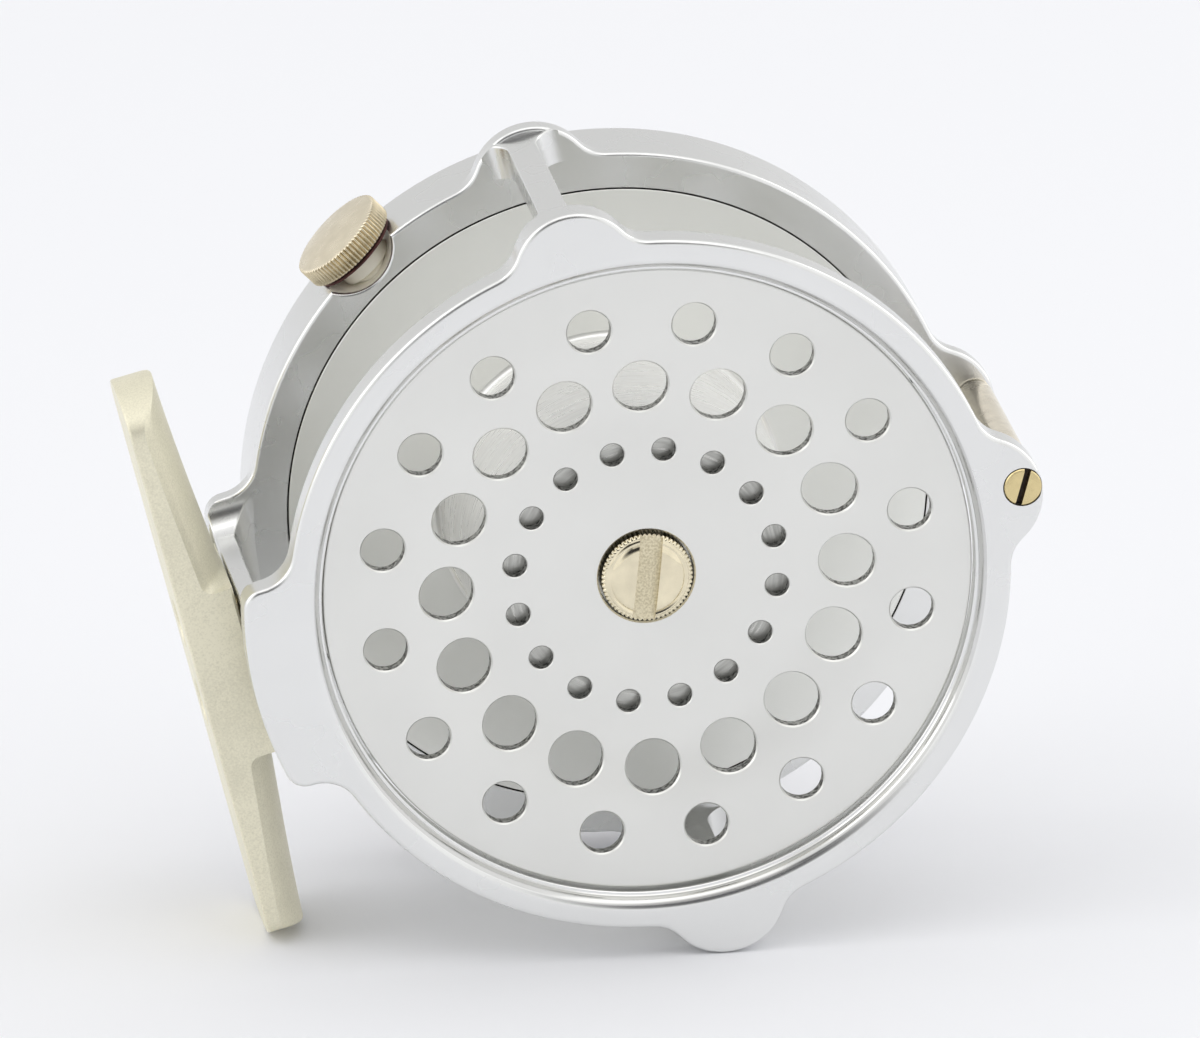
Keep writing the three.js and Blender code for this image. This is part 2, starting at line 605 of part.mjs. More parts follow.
function makeBearing(where, centre) {
  const { outer, inner, width, pitch, ball } = BEARING;
  const near = centre - width / 2;
  const far = centre + width / 2;
  const outerRace = turned([
    [BEARING_LAND.outer, near], [outer, near], [outer, far], [BEARING_LAND.outer, far],
    ...grooveArc(centre, 1),
  ], SMALL_SEGMENTS);
  const innerRace = turned([
    [inner, near], [BEARING_LAND.inner, near],
    ...grooveArc(centre, -1),
    [BEARING_LAND.inner, far], [inner, far],
  ], SMALL_SEGMENTS);
  addPiece(`${where}_bearing_outer_race`, outerRace, 'steel');
  addPiece(`${where}_bearing_inner_race`, innerRace, 'steel');
  const { half, reach } = BALL_CAGE;
  let cage = toSolid(ring(pitch - half, pitch + half, centre - reach, centre + reach, SMALL_SEGMENTS));
  const pocketRadius = ball + CLEARANCE;
  for (let i = 0; i < BALLS; i += 1) {
    const angle = (i * 360) / BALLS;
    const [x, z] = polar(pitch, angle);
    const sphere = new THREE.IcosahedronGeometry(ball, 1);
    sphere.translate(x, centre, z);
    addPiece(`${where}_bearing_ball_${i + 1}`, sphere, 'steel');
    const pocket = radialTurned([
      [0, pitch - 1], [pocketRadius, pitch - 1], [pocketRadius, pitch + 1], [0, pitch + 1],
    ], centre, 10);
    cage = cage.subtract(toSolid(toAngle(pocket, angle)));
  }
  addPiece(`${where}_bearing_ball_cage`, toGeometry(cage), 'gold');
}

makeBearing('near', BEARING_CENTRES.near);
makeBearing('far', BEARING_CENTRES.far);

// ---------------------------------------------------------------- check

function makeRatchet() {
  const shape = new THREE.Shape();
  const step = 360 / RATCHET.teeth;
  shape.moveTo(...polar(RATCHET.root, 0));
  for (let i = 0; i < RATCHET.teeth; i += 1) {
    shape.lineTo(...polar(RATCHET.tip, (i + RATCHET.rise) * step));
    shape.lineTo(...polar(RATCHET.tip, (i + RATCHET.fall) * step));
    shape.lineTo(...polar(RATCHET.root, (i + 1) * step));
  }
  shape.closePath();
  const bore = new THREE.Path();
  bore.absarc(0, 0, SPINDLE.radius + CLEARANCE, 0, 2 * Math.PI, true);
  shape.holes.push(bore);
  return plate(shape, RATCHET.near, RATCHET.far, 16);
}

addPiece('ratchet_wheel', toAngle(makeRatchet(), REGULATOR_ANGLE), 'steel');

// The pawl points inwards along the regulator's line and lifts about a pin beside it.
function makePawl() {
  const { pivotRadius, pivotOffset, near, far, eye, pin } = PAWL;
  const shape = new THREE.Shape();
  shape.moveTo(RATCHET.tip + CLEARANCE, -PAWL_NOSE.half);
  shape.lineTo(RATCHET.tip + PAWL_NOSE.reach, -PAWL_NOSE.shoulder);
  shape.lineTo(pivotRadius - eye, -pivotOffset);
  shape.absarc(pivotRadius, -pivotOffset, eye, Math.PI, 2 * Math.PI, false);
  shape.lineTo(pivotRadius + PAWL_NOSE.back, -PAWL_NOSE.backHalf);
  shape.lineTo(pivotRadius + PAWL_NOSE.back, PAWL_NOSE.backHalf);
  shape.lineTo(RATCHET.tip + PAWL_NOSE.reach, PAWL_NOSE.shoulder);
  shape.lineTo(RATCHET.tip + CLEARANCE, PAWL_NOSE.half);
  shape.closePath();
  const bore = new THREE.Path();
  bore.absarc(pivotRadius, -pivotOffset, pin + CLEARANCE, 0, 2 * Math.PI, true);
  shape.holes.push(bore);
  return plate(shape, near, far, 10);
}

addPiece('pawl', toAngle(makePawl(), REGULATOR_ANGLE), 'steel');

const pawlPin = turned([
  [0, PAWL_PIN.start], [PAWL.pin, PAWL_PIN.start], [PAWL.pin, PAWL_PIN.base],
  [PAWL_PIN.head, PAWL_PIN.base], [PAWL_PIN.head, PAWL_PIN.far], [0, PAWL_PIN.far],
], HOLE_SEGMENTS);
pawlPin.translate(PAWL.pivotRadius, 0, -PAWL.pivotOffset);
addPiece('pawl_pin', toAngle(pawlPin, REGULATOR_ANGLE), 'steel');

class SpringCurve extends THREE.Curve {
  getPoint(t, target = new THREE.Vector3()) {
    const angle = 2 * Math.PI * SPRING.turns * t;
    const reach = SPRING.radius - SPRING.wire;
    const along = SPRING.inner + SPRING.wire + (SPRING.outer - SPRING.inner - 2 * SPRING.wire) * t;
    return target.set(along, REGULATOR_DEPTH + reach * Math.cos(angle), reach * Math.sin(angle));
  }
}

const wireSection = new THREE.Shape();
wireSection.absarc(0, 0, SPRING.wire, 0, 2 * Math.PI, false);
const spring = new THREE.ExtrudeGeometry(wireSection, {
  extrudePath: new SpringCurve(),
  steps: SPRING.turns * SPRING.stepsPerTurn,
  bevelEnabled: false,
  curveSegments: 2,
});
addPiece('pawl_spring', toAngle(spring, REGULATOR_ANGLE), 'steel');

// ---------------------------------------------------------------- regulator

function makeSlider() {
  const block = radialBox(SLIDER.inner, SLIDER.outer, SLIDER.half, SLIDER.near, SLIDER.far);
  const bore = radialTurned([
    [0, SLIDER.inner + SLIDER.wall],
    [STEM.thread + CLEARANCE, SLIDER.inner + SLIDER.wall],
    [STEM.thread + CLEARANCE, SLIDER.outer + 1],
    [0, SLIDER.outer + 1],
  ], REGULATOR_DEPTH, HOLE_SEGMENTS);
  return toSolid(block).subtract(toSolid(bore));
}

addPiece('tension_slider', toAngle(toGeometry(makeSlider()), REGULATOR_ANGLE), 'gold');

const bush = radialTurned([
  [BUSH.bore, BUSH.inner], [BUSH.radius, BUSH.inner], [BUSH.radius, BUSH.outer], [BUSH.bore, BUSH.outer],
], REGULATOR_DEPTH, SMALL_SEGMENTS);
addPiece('regulator_bush', toAngle(bush, REGULATOR_ANGLE), 'nickel');

const stem = radialTurned([
  [0, STEM.inner],
  [STEM.thread, STEM.inner],
  [STEM.thread, STEM.shoulder],
  [STEM.journal, STEM.shoulder],
  [STEM.journal, KNOB.outer - KNOB_SOCKET.cover],
  [0, KNOB.outer - KNOB_SOCKET.cover],
], REGULATOR_DEPTH, SMALL_SEGMENTS);
addPiece('regulator_stem', toAngle(stem, REGULATOR_ANGLE), 'steel');

const washer = radialTurned([
  [WASHER.bore, WASHER.inner], [WASHER.radius, WASHER.inner], [WASHER.radius, WASHER.outer],
  [WASHER.bore, WASHER.outer],
], REGULATOR_DEPTH, 36);
addPiece('regulator_washer', toAngle(washer, REGULATOR_ANGLE), 'fibre');

function makeKnob() {
  const { radius, inner, outer, dome, flutes, flute } = KNOB;
  const socketEnd = outer - KNOB_SOCKET.cover + CLEARANCE;
  const side = flutedRod(radius, flute, flutes, inner, outer, 0);
  side.rotateZ(-Math.PI / 2);
  side.translate(0, REGULATOR_DEPTH, 0);
  const { foot, footRise, over, top, topRise, crown, crownRise } = KNOB_EDGE;
  const domed = [[radius - top, outer - topRise], [radius - crown, outer + crownRise], [0, outer + dome]];
  const limit = radialTurned([
    [0, inner], [radius - foot, inner], [radius + over, inner + footRise], [radius + over, outer - top],
    ...domed,
  ], REGULATOR_DEPTH, 40);
  const cover = radialTurned([[0, outer - top], [radius - top, outer - top], ...domed], REGULATOR_DEPTH, 40);
  const hole = radialTurned([
    [0, inner - 1], [KNOB_SOCKET.radius, inner - 1], [KNOB_SOCKET.radius, socketEnd], [0, socketEnd],
  ], REGULATOR_DEPTH, SMALL_SEGMENTS);
  return toSolid(side).intersect(toSolid(limit)).add(toSolid(cover)).subtract(toSolid(hole));
}

addPiece('regulator_knob', toAngle(toGeometry(makeKnob()), REGULATOR_ANGLE), 'nickel');

// ---------------------------------------------------------------- handle plate

function makeHandlePlate() {
  const { radius, near, far, boss, bossFar, edge } = HANDLE_PLATE;
  const blank = turned([
    [SPINDLE.radius + CLEARANCE, near], [radius, near], [radius, far - edge], [radius - edge, far],
    [PLATE_GROOVE.outer, far], [PLATE_GROOVE.middle, far - PLATE_GROOVE.depth], [PLATE_GROOVE.inner, far],
    [boss + PLATE_BOSS.foot, far], [boss, far + PLATE_BOSS.footRise],
    [boss, bossFar - PLATE_BOSS.edge], [boss - PLATE_BOSS.edge, bossFar],
    [PLATE_SCREW.head + CLEARANCE, bossFar],
    [PLATE_SCREW.head + CLEARANCE, PLATE_SCREW.seat - CLEARANCE],
    [SPINDLE.radius + CLEARANCE, PLATE_SCREW.seat - CLEARANCE],
  ], WIDE_SEGMENTS);
  const pinHole = rod(HANDLE.pin + CLEARANCE, near - 1, far + 1, HOLE_SEGMENTS);
  pinHole.translate(0, 0, -HANDLE.orbit);
  const rivetHole = rod(COUNTERWEIGHT.rivet + CLEARANCE, near - 1, far + 1, HOLE_SEGMENTS);
  rivetHole.translate(0, 0, HANDLE.orbit);
  return toSolid(blank).subtract(toSolid(pinHole)).subtract(toSolid(rivetHole));
}

addPiece('handle_plate', toGeometry(makeHandlePlate()), 'silver');

function makePlateScrew() {
  const { head, seat, far, shank, start, edge } = PLATE_SCREW;
  const { width, depth, length } = PLATE_SCREW_SLOT;
  const blank = turned([
    [0, start], [shank, start], [shank, seat], [head, seat],
    [head, far - edge], [head - edge, far], [0, far],
  ], 36);
  const slot = new THREE.BoxGeometry(width, 2 * depth, length);
  slot.translate(0, far, 0);
  return toSolid(blank).subtract(toSolid(slot));
}

addPiece('handle_plate_screw', toGeometry(makePlateScrew()), 'gold');

const RIVET_START = HANDLE_PLATE.near + CLEARANCE;
const counterweight = turned([
  [0, RIVET_START],
  [COUNTERWEIGHT.rivet, RIVET_START],
  [COUNTERWEIGHT.rivet, COUNTERWEIGHT.near],
  [COUNTERWEIGHT.radius, COUNTERWEIGHT.near],
  [COUNTERWEIGHT.radius, COUNTERWEIGHT.far - COUNTERWEIGHT.edge],
  [COUNTERWEIGHT.radius - COUNTERWEIGHT.edge, COUNTERWEIGHT.far],
  [0, COUNTERWEIGHT.far],
], ROUND_SEGMENTS);
counterweight.translate(0, 0, HANDLE.orbit);
addPiece('counterweight', counterweight, 'gold');

function atHandle(geometry) {
  const [x, z] = polar(HANDLE.orbit, HANDLE_ANGLE);
  geometry.translate(x, 0, z);
  return geometry;
}

const GRIP_END = HANDLE.start + HANDLE.length;
const PIN_END = GRIP_END + HANDLE.pinProud;

function makeHandlePin() {
  const collarNear = HANDLE_PLATE.far + CLEARANCE;
  const blank = turned([
    [0, RIVET_START],
    [HANDLE.pin, RIVET_START],
    [HANDLE.pin, collarNear],
    [HANDLE_COLLAR.radius, collarNear],
    [HANDLE_COLLAR.radius, HANDLE_COLLAR.far],
    [HANDLE.pin, HANDLE_COLLAR.far],
    [HANDLE.pin, PIN_END],
    [0, PIN_END],
  ], 28);
  const tapped = rod(HANDLE_SCREW.shank + CLEARANCE, PIN_END - HANDLE_SCREW.tap, PIN_END + 1, 16);
  return toSolid(blank).subtract(toSolid(tapped));
}

addPiece('handle_pin', atHandle(toGeometry(makeHandlePin())), 'steel');

const gripCurve = new THREE.CatmullRomCurve3([
  new THREE.Vector3(GRIP.base, HANDLE.start + GRIP_AT.base, 0),
  new THREE.Vector3(GRIP.waist, HANDLE.start + GRIP_AT.waist, 0),
  new THREE.Vector3(GRIP.belly, GRIP_END - GRIP_AT.belly, 0),
  new THREE.Vector3(GRIP.shoulder, GRIP_END - GRIP_AT.shoulder, 0),
]);
const gripSide = gripCurve.getPoints(8).map((point) => [point.x, point.y]);
const grip = turned([
  [HANDLE.pin + CLEARANCE, HANDLE.start],
  [GRIP.base - GRIP_BREAK, HANDLE.start],
  ...gripSide,
  [GRIP.end, GRIP_END],
  [HANDLE.pin + CLEARANCE, GRIP_END],
], SMALL_SEGMENTS);
addPiece('handle_grip', atHandle(grip), 'wood');

function makeHandleScrew() {
  const { radius, base, far, shank, reach, edge, crown } = HANDLE_SCREW;
  const { width, depth, length } = HANDLE_SCREW_SLOT;
  const blank = turned([
    [0, base - reach], [shank, base - reach], [shank, base], [radius, base],
    [radius, far - edge], [radius - crown, far], [0, far],
  ], SMALL_SEGMENTS);
  const slot = new THREE.BoxGeometry(width, 2 * depth, length);
  slot.translate(0, far, 0);
  return toSolid(blank).subtract(toSolid(slot));
}

addPiece('handle_screw', atHandle(toGeometry(makeHandleScrew())), 'gold');

// ---------------------------------------------------------------- place on the ground

reel.updateMatrixWorld(true);
const box = new THREE.Box3().setFromObject(reel);
reel.position.set(-(box.min.x + box.max.x) / 2, -(box.min.y + box.max.y) / 2, -box.min.z);
reel.updateMatrixWorld(true);

export default reel;
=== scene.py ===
"""Looks for a 76 mm fly reel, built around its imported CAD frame."""

import json
import math

import bmesh
import bpy
import numpy as np
from mathutils import Matrix, Vector


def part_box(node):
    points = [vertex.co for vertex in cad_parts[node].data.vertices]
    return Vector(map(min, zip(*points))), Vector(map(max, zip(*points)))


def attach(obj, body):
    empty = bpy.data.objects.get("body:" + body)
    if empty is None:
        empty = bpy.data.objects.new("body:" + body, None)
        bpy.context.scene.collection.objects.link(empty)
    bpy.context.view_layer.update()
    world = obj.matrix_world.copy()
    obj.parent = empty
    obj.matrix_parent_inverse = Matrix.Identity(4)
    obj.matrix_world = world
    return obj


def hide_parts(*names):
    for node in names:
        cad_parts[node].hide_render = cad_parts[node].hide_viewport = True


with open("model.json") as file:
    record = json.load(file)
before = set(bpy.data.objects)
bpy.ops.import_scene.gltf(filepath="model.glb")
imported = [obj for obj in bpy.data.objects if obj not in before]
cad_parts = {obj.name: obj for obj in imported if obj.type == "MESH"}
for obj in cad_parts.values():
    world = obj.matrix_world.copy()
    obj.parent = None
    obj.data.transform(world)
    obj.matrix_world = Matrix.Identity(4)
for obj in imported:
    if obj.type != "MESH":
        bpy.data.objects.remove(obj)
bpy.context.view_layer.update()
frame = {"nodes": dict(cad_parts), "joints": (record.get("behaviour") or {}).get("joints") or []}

# ---------------------------------------------------------------- where the reel stands

MM = 0.001
JOINTS = {joint["name"]: joint for joint in frame["joints"]}
AXIS = JOINTS["drum_spin"]["pos_m"]
# The reel's own frame starts on the drum axis at the drum's near face. Y runs towards the handle.
ORIGIN = Vector((AXIS[0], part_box("drum")[0].y, AXIS[2]))

# Driving dimensions in millimetres, the same as the CAD model's
RING_RADIUS = 38.1
NEAR_FACE, NEAR_BACK = -2.23, 1.21
FAR_FACE, FAR_STEP, FAR_END = 26.3, 28.5, 35.4
LOBE = {"tip": 42.3, "corner": 6.58, "half": 0.0, "fillet": 4.05}
SEAT = {"tip": 42.8, "corner": 2.2, "half": 13.0, "fillet": 4.05}
ROLLER_ANGLE, TOP_ANGLE, SEAT_ANGLE, LOW_ANGLE = 12.7, 102.7, 193.3, 282.7
PILLAR_LEAN = 0.7
FOOT_ANGLE = 194.2
REGULATOR_ANGLE = 134.0
REGULATOR_DEPTH = 30.3
DRUM_RADIUS = 34.26
ARBOR_RADIUS = 17.9
HOLE_RINGS = (
    {"radius": 28.34, "hole": 2.3, "first": 102.7, "depth": 0.0,
     "reach": 3.6, "chamfer": 0.16, "sides": 72},
    {"radius": 21.15, "hole": 2.88, "first": 91.8, "depth": 0.87,
     "reach": 3.6, "chamfer": 0.16, "sides": 80},
    {"radius": 13.97, "hole": 1.265, "first": 104.9, "depth": 1.25,
     "reach": 1.5, "chamfer": 0.1, "sides": 48},
)
HOLES_PER_RING = 16

# How many sides the turned pieces have
CIRCLE_SIDES, DRUM_SIDES, WIDE_SIDES, PLATE_SIDES = 192, 256, 240, 224
ROUND_SIDES, SCREW_SIDES, SMALL_SIDES, HOLE_SIDES, HIDDEN_SIDES = 128, 96, 72, 64, 32
KNURL_SIDES = 8

# How near a face's centre lies to the surface that it belongs to
TOUCH = 0.05

# ---------------------------------------------------------------- mesh helpers


def place(points):
    """Millimetres in the reel's own frame to metres in the row frame."""
    return np.asarray(points, float) * MM + np.array(ORIGIN)


def make_object(name, points, faces):
    mesh = bpy.data.meshes.new(name)
    mesh.from_pydata([tuple(p) for p in place(points)], [], faces)
    mesh.validate()
    piece = bpy.data.objects.new(name, mesh)
    bpy.context.scene.collection.objects.link(piece)
    face_outwards(piece)
    return piece


def face_outwards(piece):
    work = bmesh.new()
    work.from_mesh(piece.data)
    bmesh.ops.recalc_face_normals(work, faces=work.faces)
    if work.calc_volume(signed=True) < 0:
        bmesh.ops.reverse_faces(work, faces=work.faces)
    work.to_mesh(piece.data)
    work.free()
    piece.data.update()


def loft(name, loops, closed=False):
    """Joins loops of points. A loop of one point is a pole; an open end is capped flat."""
    points, starts = [], []
    for loop in loops:
        starts.append(len(points))
        points.extend(tuple(p) for p in loop)
    faces = []
    pairs = list(zip(range(len(loops) - 1), range(1, len(loops))))
    if closed:
        pairs.append((len(loops) - 1, 0))
    for low, high in pairs:
        count = max(len(loops[low]), len(loops[high]))
        for i in range(count):
            j = (i + 1) % count
            if len(loops[low]) == 1:
                faces.append((starts[low], starts[high] + j, starts[high] + i))
            elif len(loops[high]) == 1:
                faces.append((starts[low] + i, starts[low] + j, starts[high]))
            else:
                low_side = (starts[low] + i, starts[low] + j)
                faces.append((*low_side, starts[high] + j, starts[high] + i))
    if not closed:
        for index in (0, len(loops) - 1):
            if len(loops[index]) > 1:
                faces.append(tuple(starts[index] + i for i in range(len(loops[index]))))
    return make_object(name, points, faces)


def circle(radius, y, count=CIRCLE_SIDES):
    if radius == 0:
        return [(0, y, 0)]
    angles = np.linspace(0, 2 * np.pi, count, endpoint=False)
    return np.stack([radius * np.cos(angles), np.full(count, y), radius * np.sin(angles)], 1)


def knurled(radius, y, teeth, depth):
    """A circle with round teeth and narrow grooves."""
    angles = np.linspace(0, 2 * np.pi, teeth * KNURL_SIDES, endpoint=False)
    reach = radius - depth * (0.5 + 0.5 * np.cos(teeth * angles)) ** 2
    return np.stack([reach * np.cos(angles), np.full(len(angles), y), reach * np.sin(angles)], 1)


def arc(centre, radius, start, end, steps):
    """Points on an arc, in degrees."""
    angles = np.radians(np.linspace(start, end, steps + 1))
    return [(centre[0] + radius * math.cos(a), centre[1] + radius * math.sin(a)) for a in angles]


def lathe(name, profile, count=CIRCLE_SIDES, closed=False):
    """A solid of revolution about the drum axis. Profile points are (radius, y)."""
    return loft(name, [circle(radius, y, count) for radius, y in profile], closed)


def boolean(target, cutters, operation="DIFFERENCE"):
    """Cuts or joins with Blender's boolean, then drops the cutters."""
    for cutter in cutters:
        modifier = target.modifiers.new("boolean", "BOOLEAN")
        modifier.operation = operation
        modifier.solver = "MANIFOLD"
        modifier.object = cutter
    applied(target)
    for cutter in cutters:
        bpy.data.objects.remove(cutter)
    return target


def applied(piece):
    """Replaces a piece's mesh with its evaluated one."""
    graph = bpy.context.evaluated_depsgraph_get()
    result = bpy.data.meshes.new_from_object(piece.evaluated_get(graph))
    piece.modifiers.clear()
    piece.data = result
    return piece


def turn_to(piece, degrees):
    """Turns a piece modelled at angle 0 (radius along X) to its real angle about the drum axis."""
    spin = Matrix.Rotation(-math.radians(degrees), 4, "Y")
    piece.data.transform(Matrix.Translation(ORIGIN) @ spin @ Matrix.Translation(-ORIGIN))
    return piece


def shift(piece, x, y, z):
    piece.data.transform(Matrix.Translation(Vector((x, y, z)) * MM))
    return piece


def radial(piece, depth, tangent=0.0):
    """Lays a piece that was turned about the drum axis along the radius at angle 0."""
    lay = Matrix.Rotation(-math.pi / 2, 4, "Z")
    target = ORIGIN + Vector((0, depth, tangent)) * MM
    piece.data.transform(Matrix.Translation(target) @ lay @ Matrix.Translation(-ORIGIN))
    return piece


def polar(radius, degrees):
    a = math.radians(degrees)
    return radius * math.cos(a), radius * math.sin(a)


def box(x0, x1, y0, y1, z0, z1):
    return make_object("block", [(x, y, z) for x in (x0, x1) for y in (y0, y1) for z in (z0, z1)], [
        (0, 1, 3, 2), (4, 6, 7, 5), (0, 4, 5, 1), (2, 3, 7, 6), (0, 2, 6, 4), (1, 5, 7, 3),
    ])


def slot_cutter(width, depth, length, top, lean=0.0):
    """A screwdriver slot in a face at y = top, leaning clockwise as seen from the near side."""
    cutter = box(-width / 2, width / 2, top - 1, top + depth, -length / 2, length / 2)
    return turn_to(cutter, -lean)


SHARP_ANGLE, KNURL_SHARP_ANGLE, FOOT_SHARP_ANGLE = 32, 40, 28
NORMAL_WEIGHT = 80
WALL_SLOPE = 0.3


def finish_piece(piece, name, body, node, material, angle=SHARP_ANGLE):
    """Names a piece, shades it, and ties it to its CAD body, node and material slot."""
    piece.name = name
    piece.data.name = name
    piece.data.materials.clear()
    piece.data.materials.append(material)
    for polygon in piece.data.polygons:
        polygon.use_smooth = True
        polygon.material_index = 0
    piece.data.set_sharp_from_angle(angle=math.radians(angle))
    weighted = piece.modifiers.new("normals", "WEIGHTED_NORMAL")
    weighted.keep_sharp = True
    weighted.weight = NORMAL_WEIGHT
    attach(piece, body)
    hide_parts(node)
    return piece


def paint(piece, material, chosen, walls_only=False):
    """Gives another material to the faces whose centre, in reel millimetres, is chosen.

    With walls_only, faces that look along the drum axis are left as they are.
    """
    piece.data.materials.append(material)
    for polygon in piece.data.polygons:
        if walls_only and abs(polygon.normal.y) > WALL_SLOPE:
            continue
        x, y, z = (polygon.center - ORIGIN) / MM
        if chosen(x, y, z):
            polygon.material_index = len(piece.data.materials) - 1
    return piece


# ---------------------------------------------------------------- materials

# Noise scales, in cells per metre
CLOUD_SCALE, SPECK_SCALE, BLAST_CLOUD_SCALE = 90.0, 5200.0, 130.0
METAL_CLOUD_SCALE, SCRATCH_SCALE = 600.0, 3500.0
GRAIN_STRETCH = (900.0, 60.0, 900.0)
# Lines round the drum axis: cells per metre across them, and cells per radian along them
TOOL_LINES = (9000.0, 1.5)
BRUSH_LINES = (3600.0, 4.0)
# Bump heights in millimetres
LINE_BUMP, BRUSH_BUMP, BLAST_BUMP, SCRATCH_BUMP = 0.1, 0.008, 0.012, 0.003
MATTE_BUMP, GRAIN_BUMP, SPECK_BUMP = 0.02, 0.01, 0.03


def darker(color, share):
    return tuple(share * c for c in color)


def new_material(name, color, roughness, metallic=1.0):
    material = bpy.data.materials.new(name)
    material.use_nodes = True
    shader = material.node_tree.nodes["Principled BSDF"]
    shader.inputs["Base Color"].default_value = (*color, 1)
    shader.inputs["Roughness"].default_value = roughness
    shader.inputs["Metallic"].default_value = metallic
    return material, material.node_tree, shader


def noise(tree, scale, detail=4.0, vector=None):
    node = tree.nodes.new("ShaderNodeTexNoise")
    node.inputs["Scale"].default_value = scale
    node.inputs["Detail"].default_value = detail
    if vector is None:
        coordinates = tree.nodes.new("ShaderNodeTexCoord")
        vector = coordinates.outputs["Object"]
    tree.links.new(vector, node.inputs["Vector"])
    return node.outputs["Fac"]


def remap(tree, value, low, high, from_low=0.3, from_high=0.7):
    node = tree.nodes.new("ShaderNodeMapRange")
    node.inputs["From Min"].default_value = from_low
    node.inputs["From Max"].default_value = from_high
    node.inputs["To Min"].default_value = low
    node.inputs["To Max"].default_value = high
    tree.links.new(value, node.inputs["Value"])
    return node.outputs["Result"]


def tint(tree, value, dark, light, from_low=0.3, from_high=0.7):
    """Mixes two colours by a value."""
    mix = tree.nodes.new("ShaderNodeMix")
    mix.data_type = "RGBA"
    mix.inputs["A"].default_value = (*dark, 1)
    mix.inputs["B"].default_value = (*light, 1)
    tree.links.new(remap(tree, value, 0.0, 1.0, from_low, from_high), mix.inputs["Factor"])
    return mix.outputs["Result"]


def bump(tree, shader, height, strength, distance):
    node = tree.nodes.new("ShaderNodeBump")
    node.inputs["Strength"].default_value = strength
    node.inputs["Distance"].default_value = distance * MM
    tree.links.new(height, node.inputs["Height"])
    tree.links.new(node.outputs["Normal"], shader.inputs["Normal"])


def turned_coordinates(tree, fine_radius, fine_angle):
    """Coordinates that run along the tool's path on a face turned about the drum axis."""
    coordinates = tree.nodes.new("ShaderNodeTexCoord")
    offset = tree.nodes.new("ShaderNodeVectorMath")
    offset.operation = "SUBTRACT"
    offset.inputs[1].default_value = ORIGIN
    tree.links.new(coordinates.outputs["Object"], offset.inputs[0])
    parts = tree.nodes.new("ShaderNodeSeparateXYZ")
    tree.links.new(offset.outputs["Vector"], parts.inputs["Vector"])

    def maths(operation, first, second):
        node = tree.nodes.new("ShaderNodeMath")
        node.operation = operation
        for socket, value in zip(node.inputs, (first, second)):
            if isinstance(value, float):
                socket.default_value = value
            else:
                tree.links.new(value, socket)
        return node.outputs["Value"]

    across = maths("MULTIPLY", parts.outputs["X"], parts.outputs["X"])
    up = maths("MULTIPLY", parts.outputs["Z"], parts.outputs["Z"])
    radius = maths("SQRT", maths("ADD", across, up), 0.0)
    angle = maths("ARCTAN2", parts.outputs["Z"], parts.outputs["X"])
    joined = tree.nodes.new("ShaderNodeCombineXYZ")
    tree.links.new(maths("MULTIPLY", radius, fine_radius), joined.inputs["X"])
    tree.links.new(maths("MULTIPLY", parts.outputs["Y"], fine_radius), joined.inputs["Y"])
    tree.links.new(maths("MULTIPLY", angle, fine_angle), joined.inputs["Z"])
    return joined.outputs["Vector"]


def satin_silver(name, color, roughness, grain=0.02, metallic=1.0):
    """Machined aluminium: faint turned lines, a soft cloudiness and a fine tooth."""
    material, tree, shader = new_material(name, color, roughness, metallic)
    cloud = noise(tree, CLOUD_SCALE, 3.0)
    dark = darker(color, 0.98)
    spread = 0.03
    tree.links.new(tint(tree, cloud, dark, color), shader.inputs["Base Color"])
    tree.links.new(
        remap(tree, cloud, roughness + spread, roughness - spread), shader.inputs["Roughness"]
    )
    lines = noise(tree, 1.0, 2.0, turned_coordinates(tree, *TOOL_LINES))
    bump(tree, shader, lines, 1.0, grain * LINE_BUMP)
    return material


def brushed_arbor(name, color, roughness, metallic=1.0):
    """The arbor's turned cylinder with random brush strokes round it. How bright it looks comes from the
    colour passed in: painted light on the arbor, painted shade on the small holes' floor.
    """
    material, tree, shader = new_material(name, color, roughness, metallic)
    strokes = noise(tree, 1.0, 5.0, turned_coordinates(tree, *BRUSH_LINES))
    dark = darker(color, 0.86)
    tree.links.new(tint(tree, strokes, dark, color, 0.35, 0.6), shader.inputs["Base Color"])
    roughest, smoothest = 0.5, 0.22
    tree.links.new(remap(tree, strokes, roughest, smoothest), shader.inputs["Roughness"])
    bump(tree, shader, strokes, 1.0, BRUSH_BUMP)
    return material


def blasted(name, color, roughness):
    """Bead-blasted and anodised: a very fine speckle and a faint cloudiness."""
    material, tree, shader = new_material(name, color, roughness, 0.55)
    speck = noise(tree, SPECK_SCALE, 2.0)
    cloud = noise(tree, BLAST_CLOUD_SCALE, 4.0)
    dark = darker(color, 0.86)
    spread = 0.1
    mix = tree.nodes.new("ShaderNodeMath")
    mix.operation = "MULTIPLY"
    tree.links.new(speck, mix.inputs[0])
    tree.links.new(cloud, mix.inputs[1])
    tree.links.new(
        tint(tree, mix.outputs["Value"], dark, color, 0.12, 0.36), shader.inputs["Base Color"]
    )
    tree.links.new(
        remap(tree, speck, roughness + spread, roughness - spread), shader.inputs["Roughness"]
    )
    bump(tree, shader, speck, 1.0, BLAST_BUMP)
    return material


def turned_metal(name, color, roughness, wear=0.06):
    """Small turned fittings: fine random scratches and a slight change of colour."""
    material, tree, shader = new_material(name, color, roughness)
    cloud = noise(tree, METAL_CLOUD_SCALE, 5.0)
    dark = darker(color, 0.85)
    tree.links.new(tint(tree, cloud, dark, color), shader.inputs["Base Color"])
    tree.links.new(remap(tree, cloud, roughness + wear, roughness - wear), shader.inputs["Roughness"])
    bump(tree, shader, noise(tree, SCRATCH_SCALE, 3.0), 1.0, SCRATCH_BUMP)
    return material


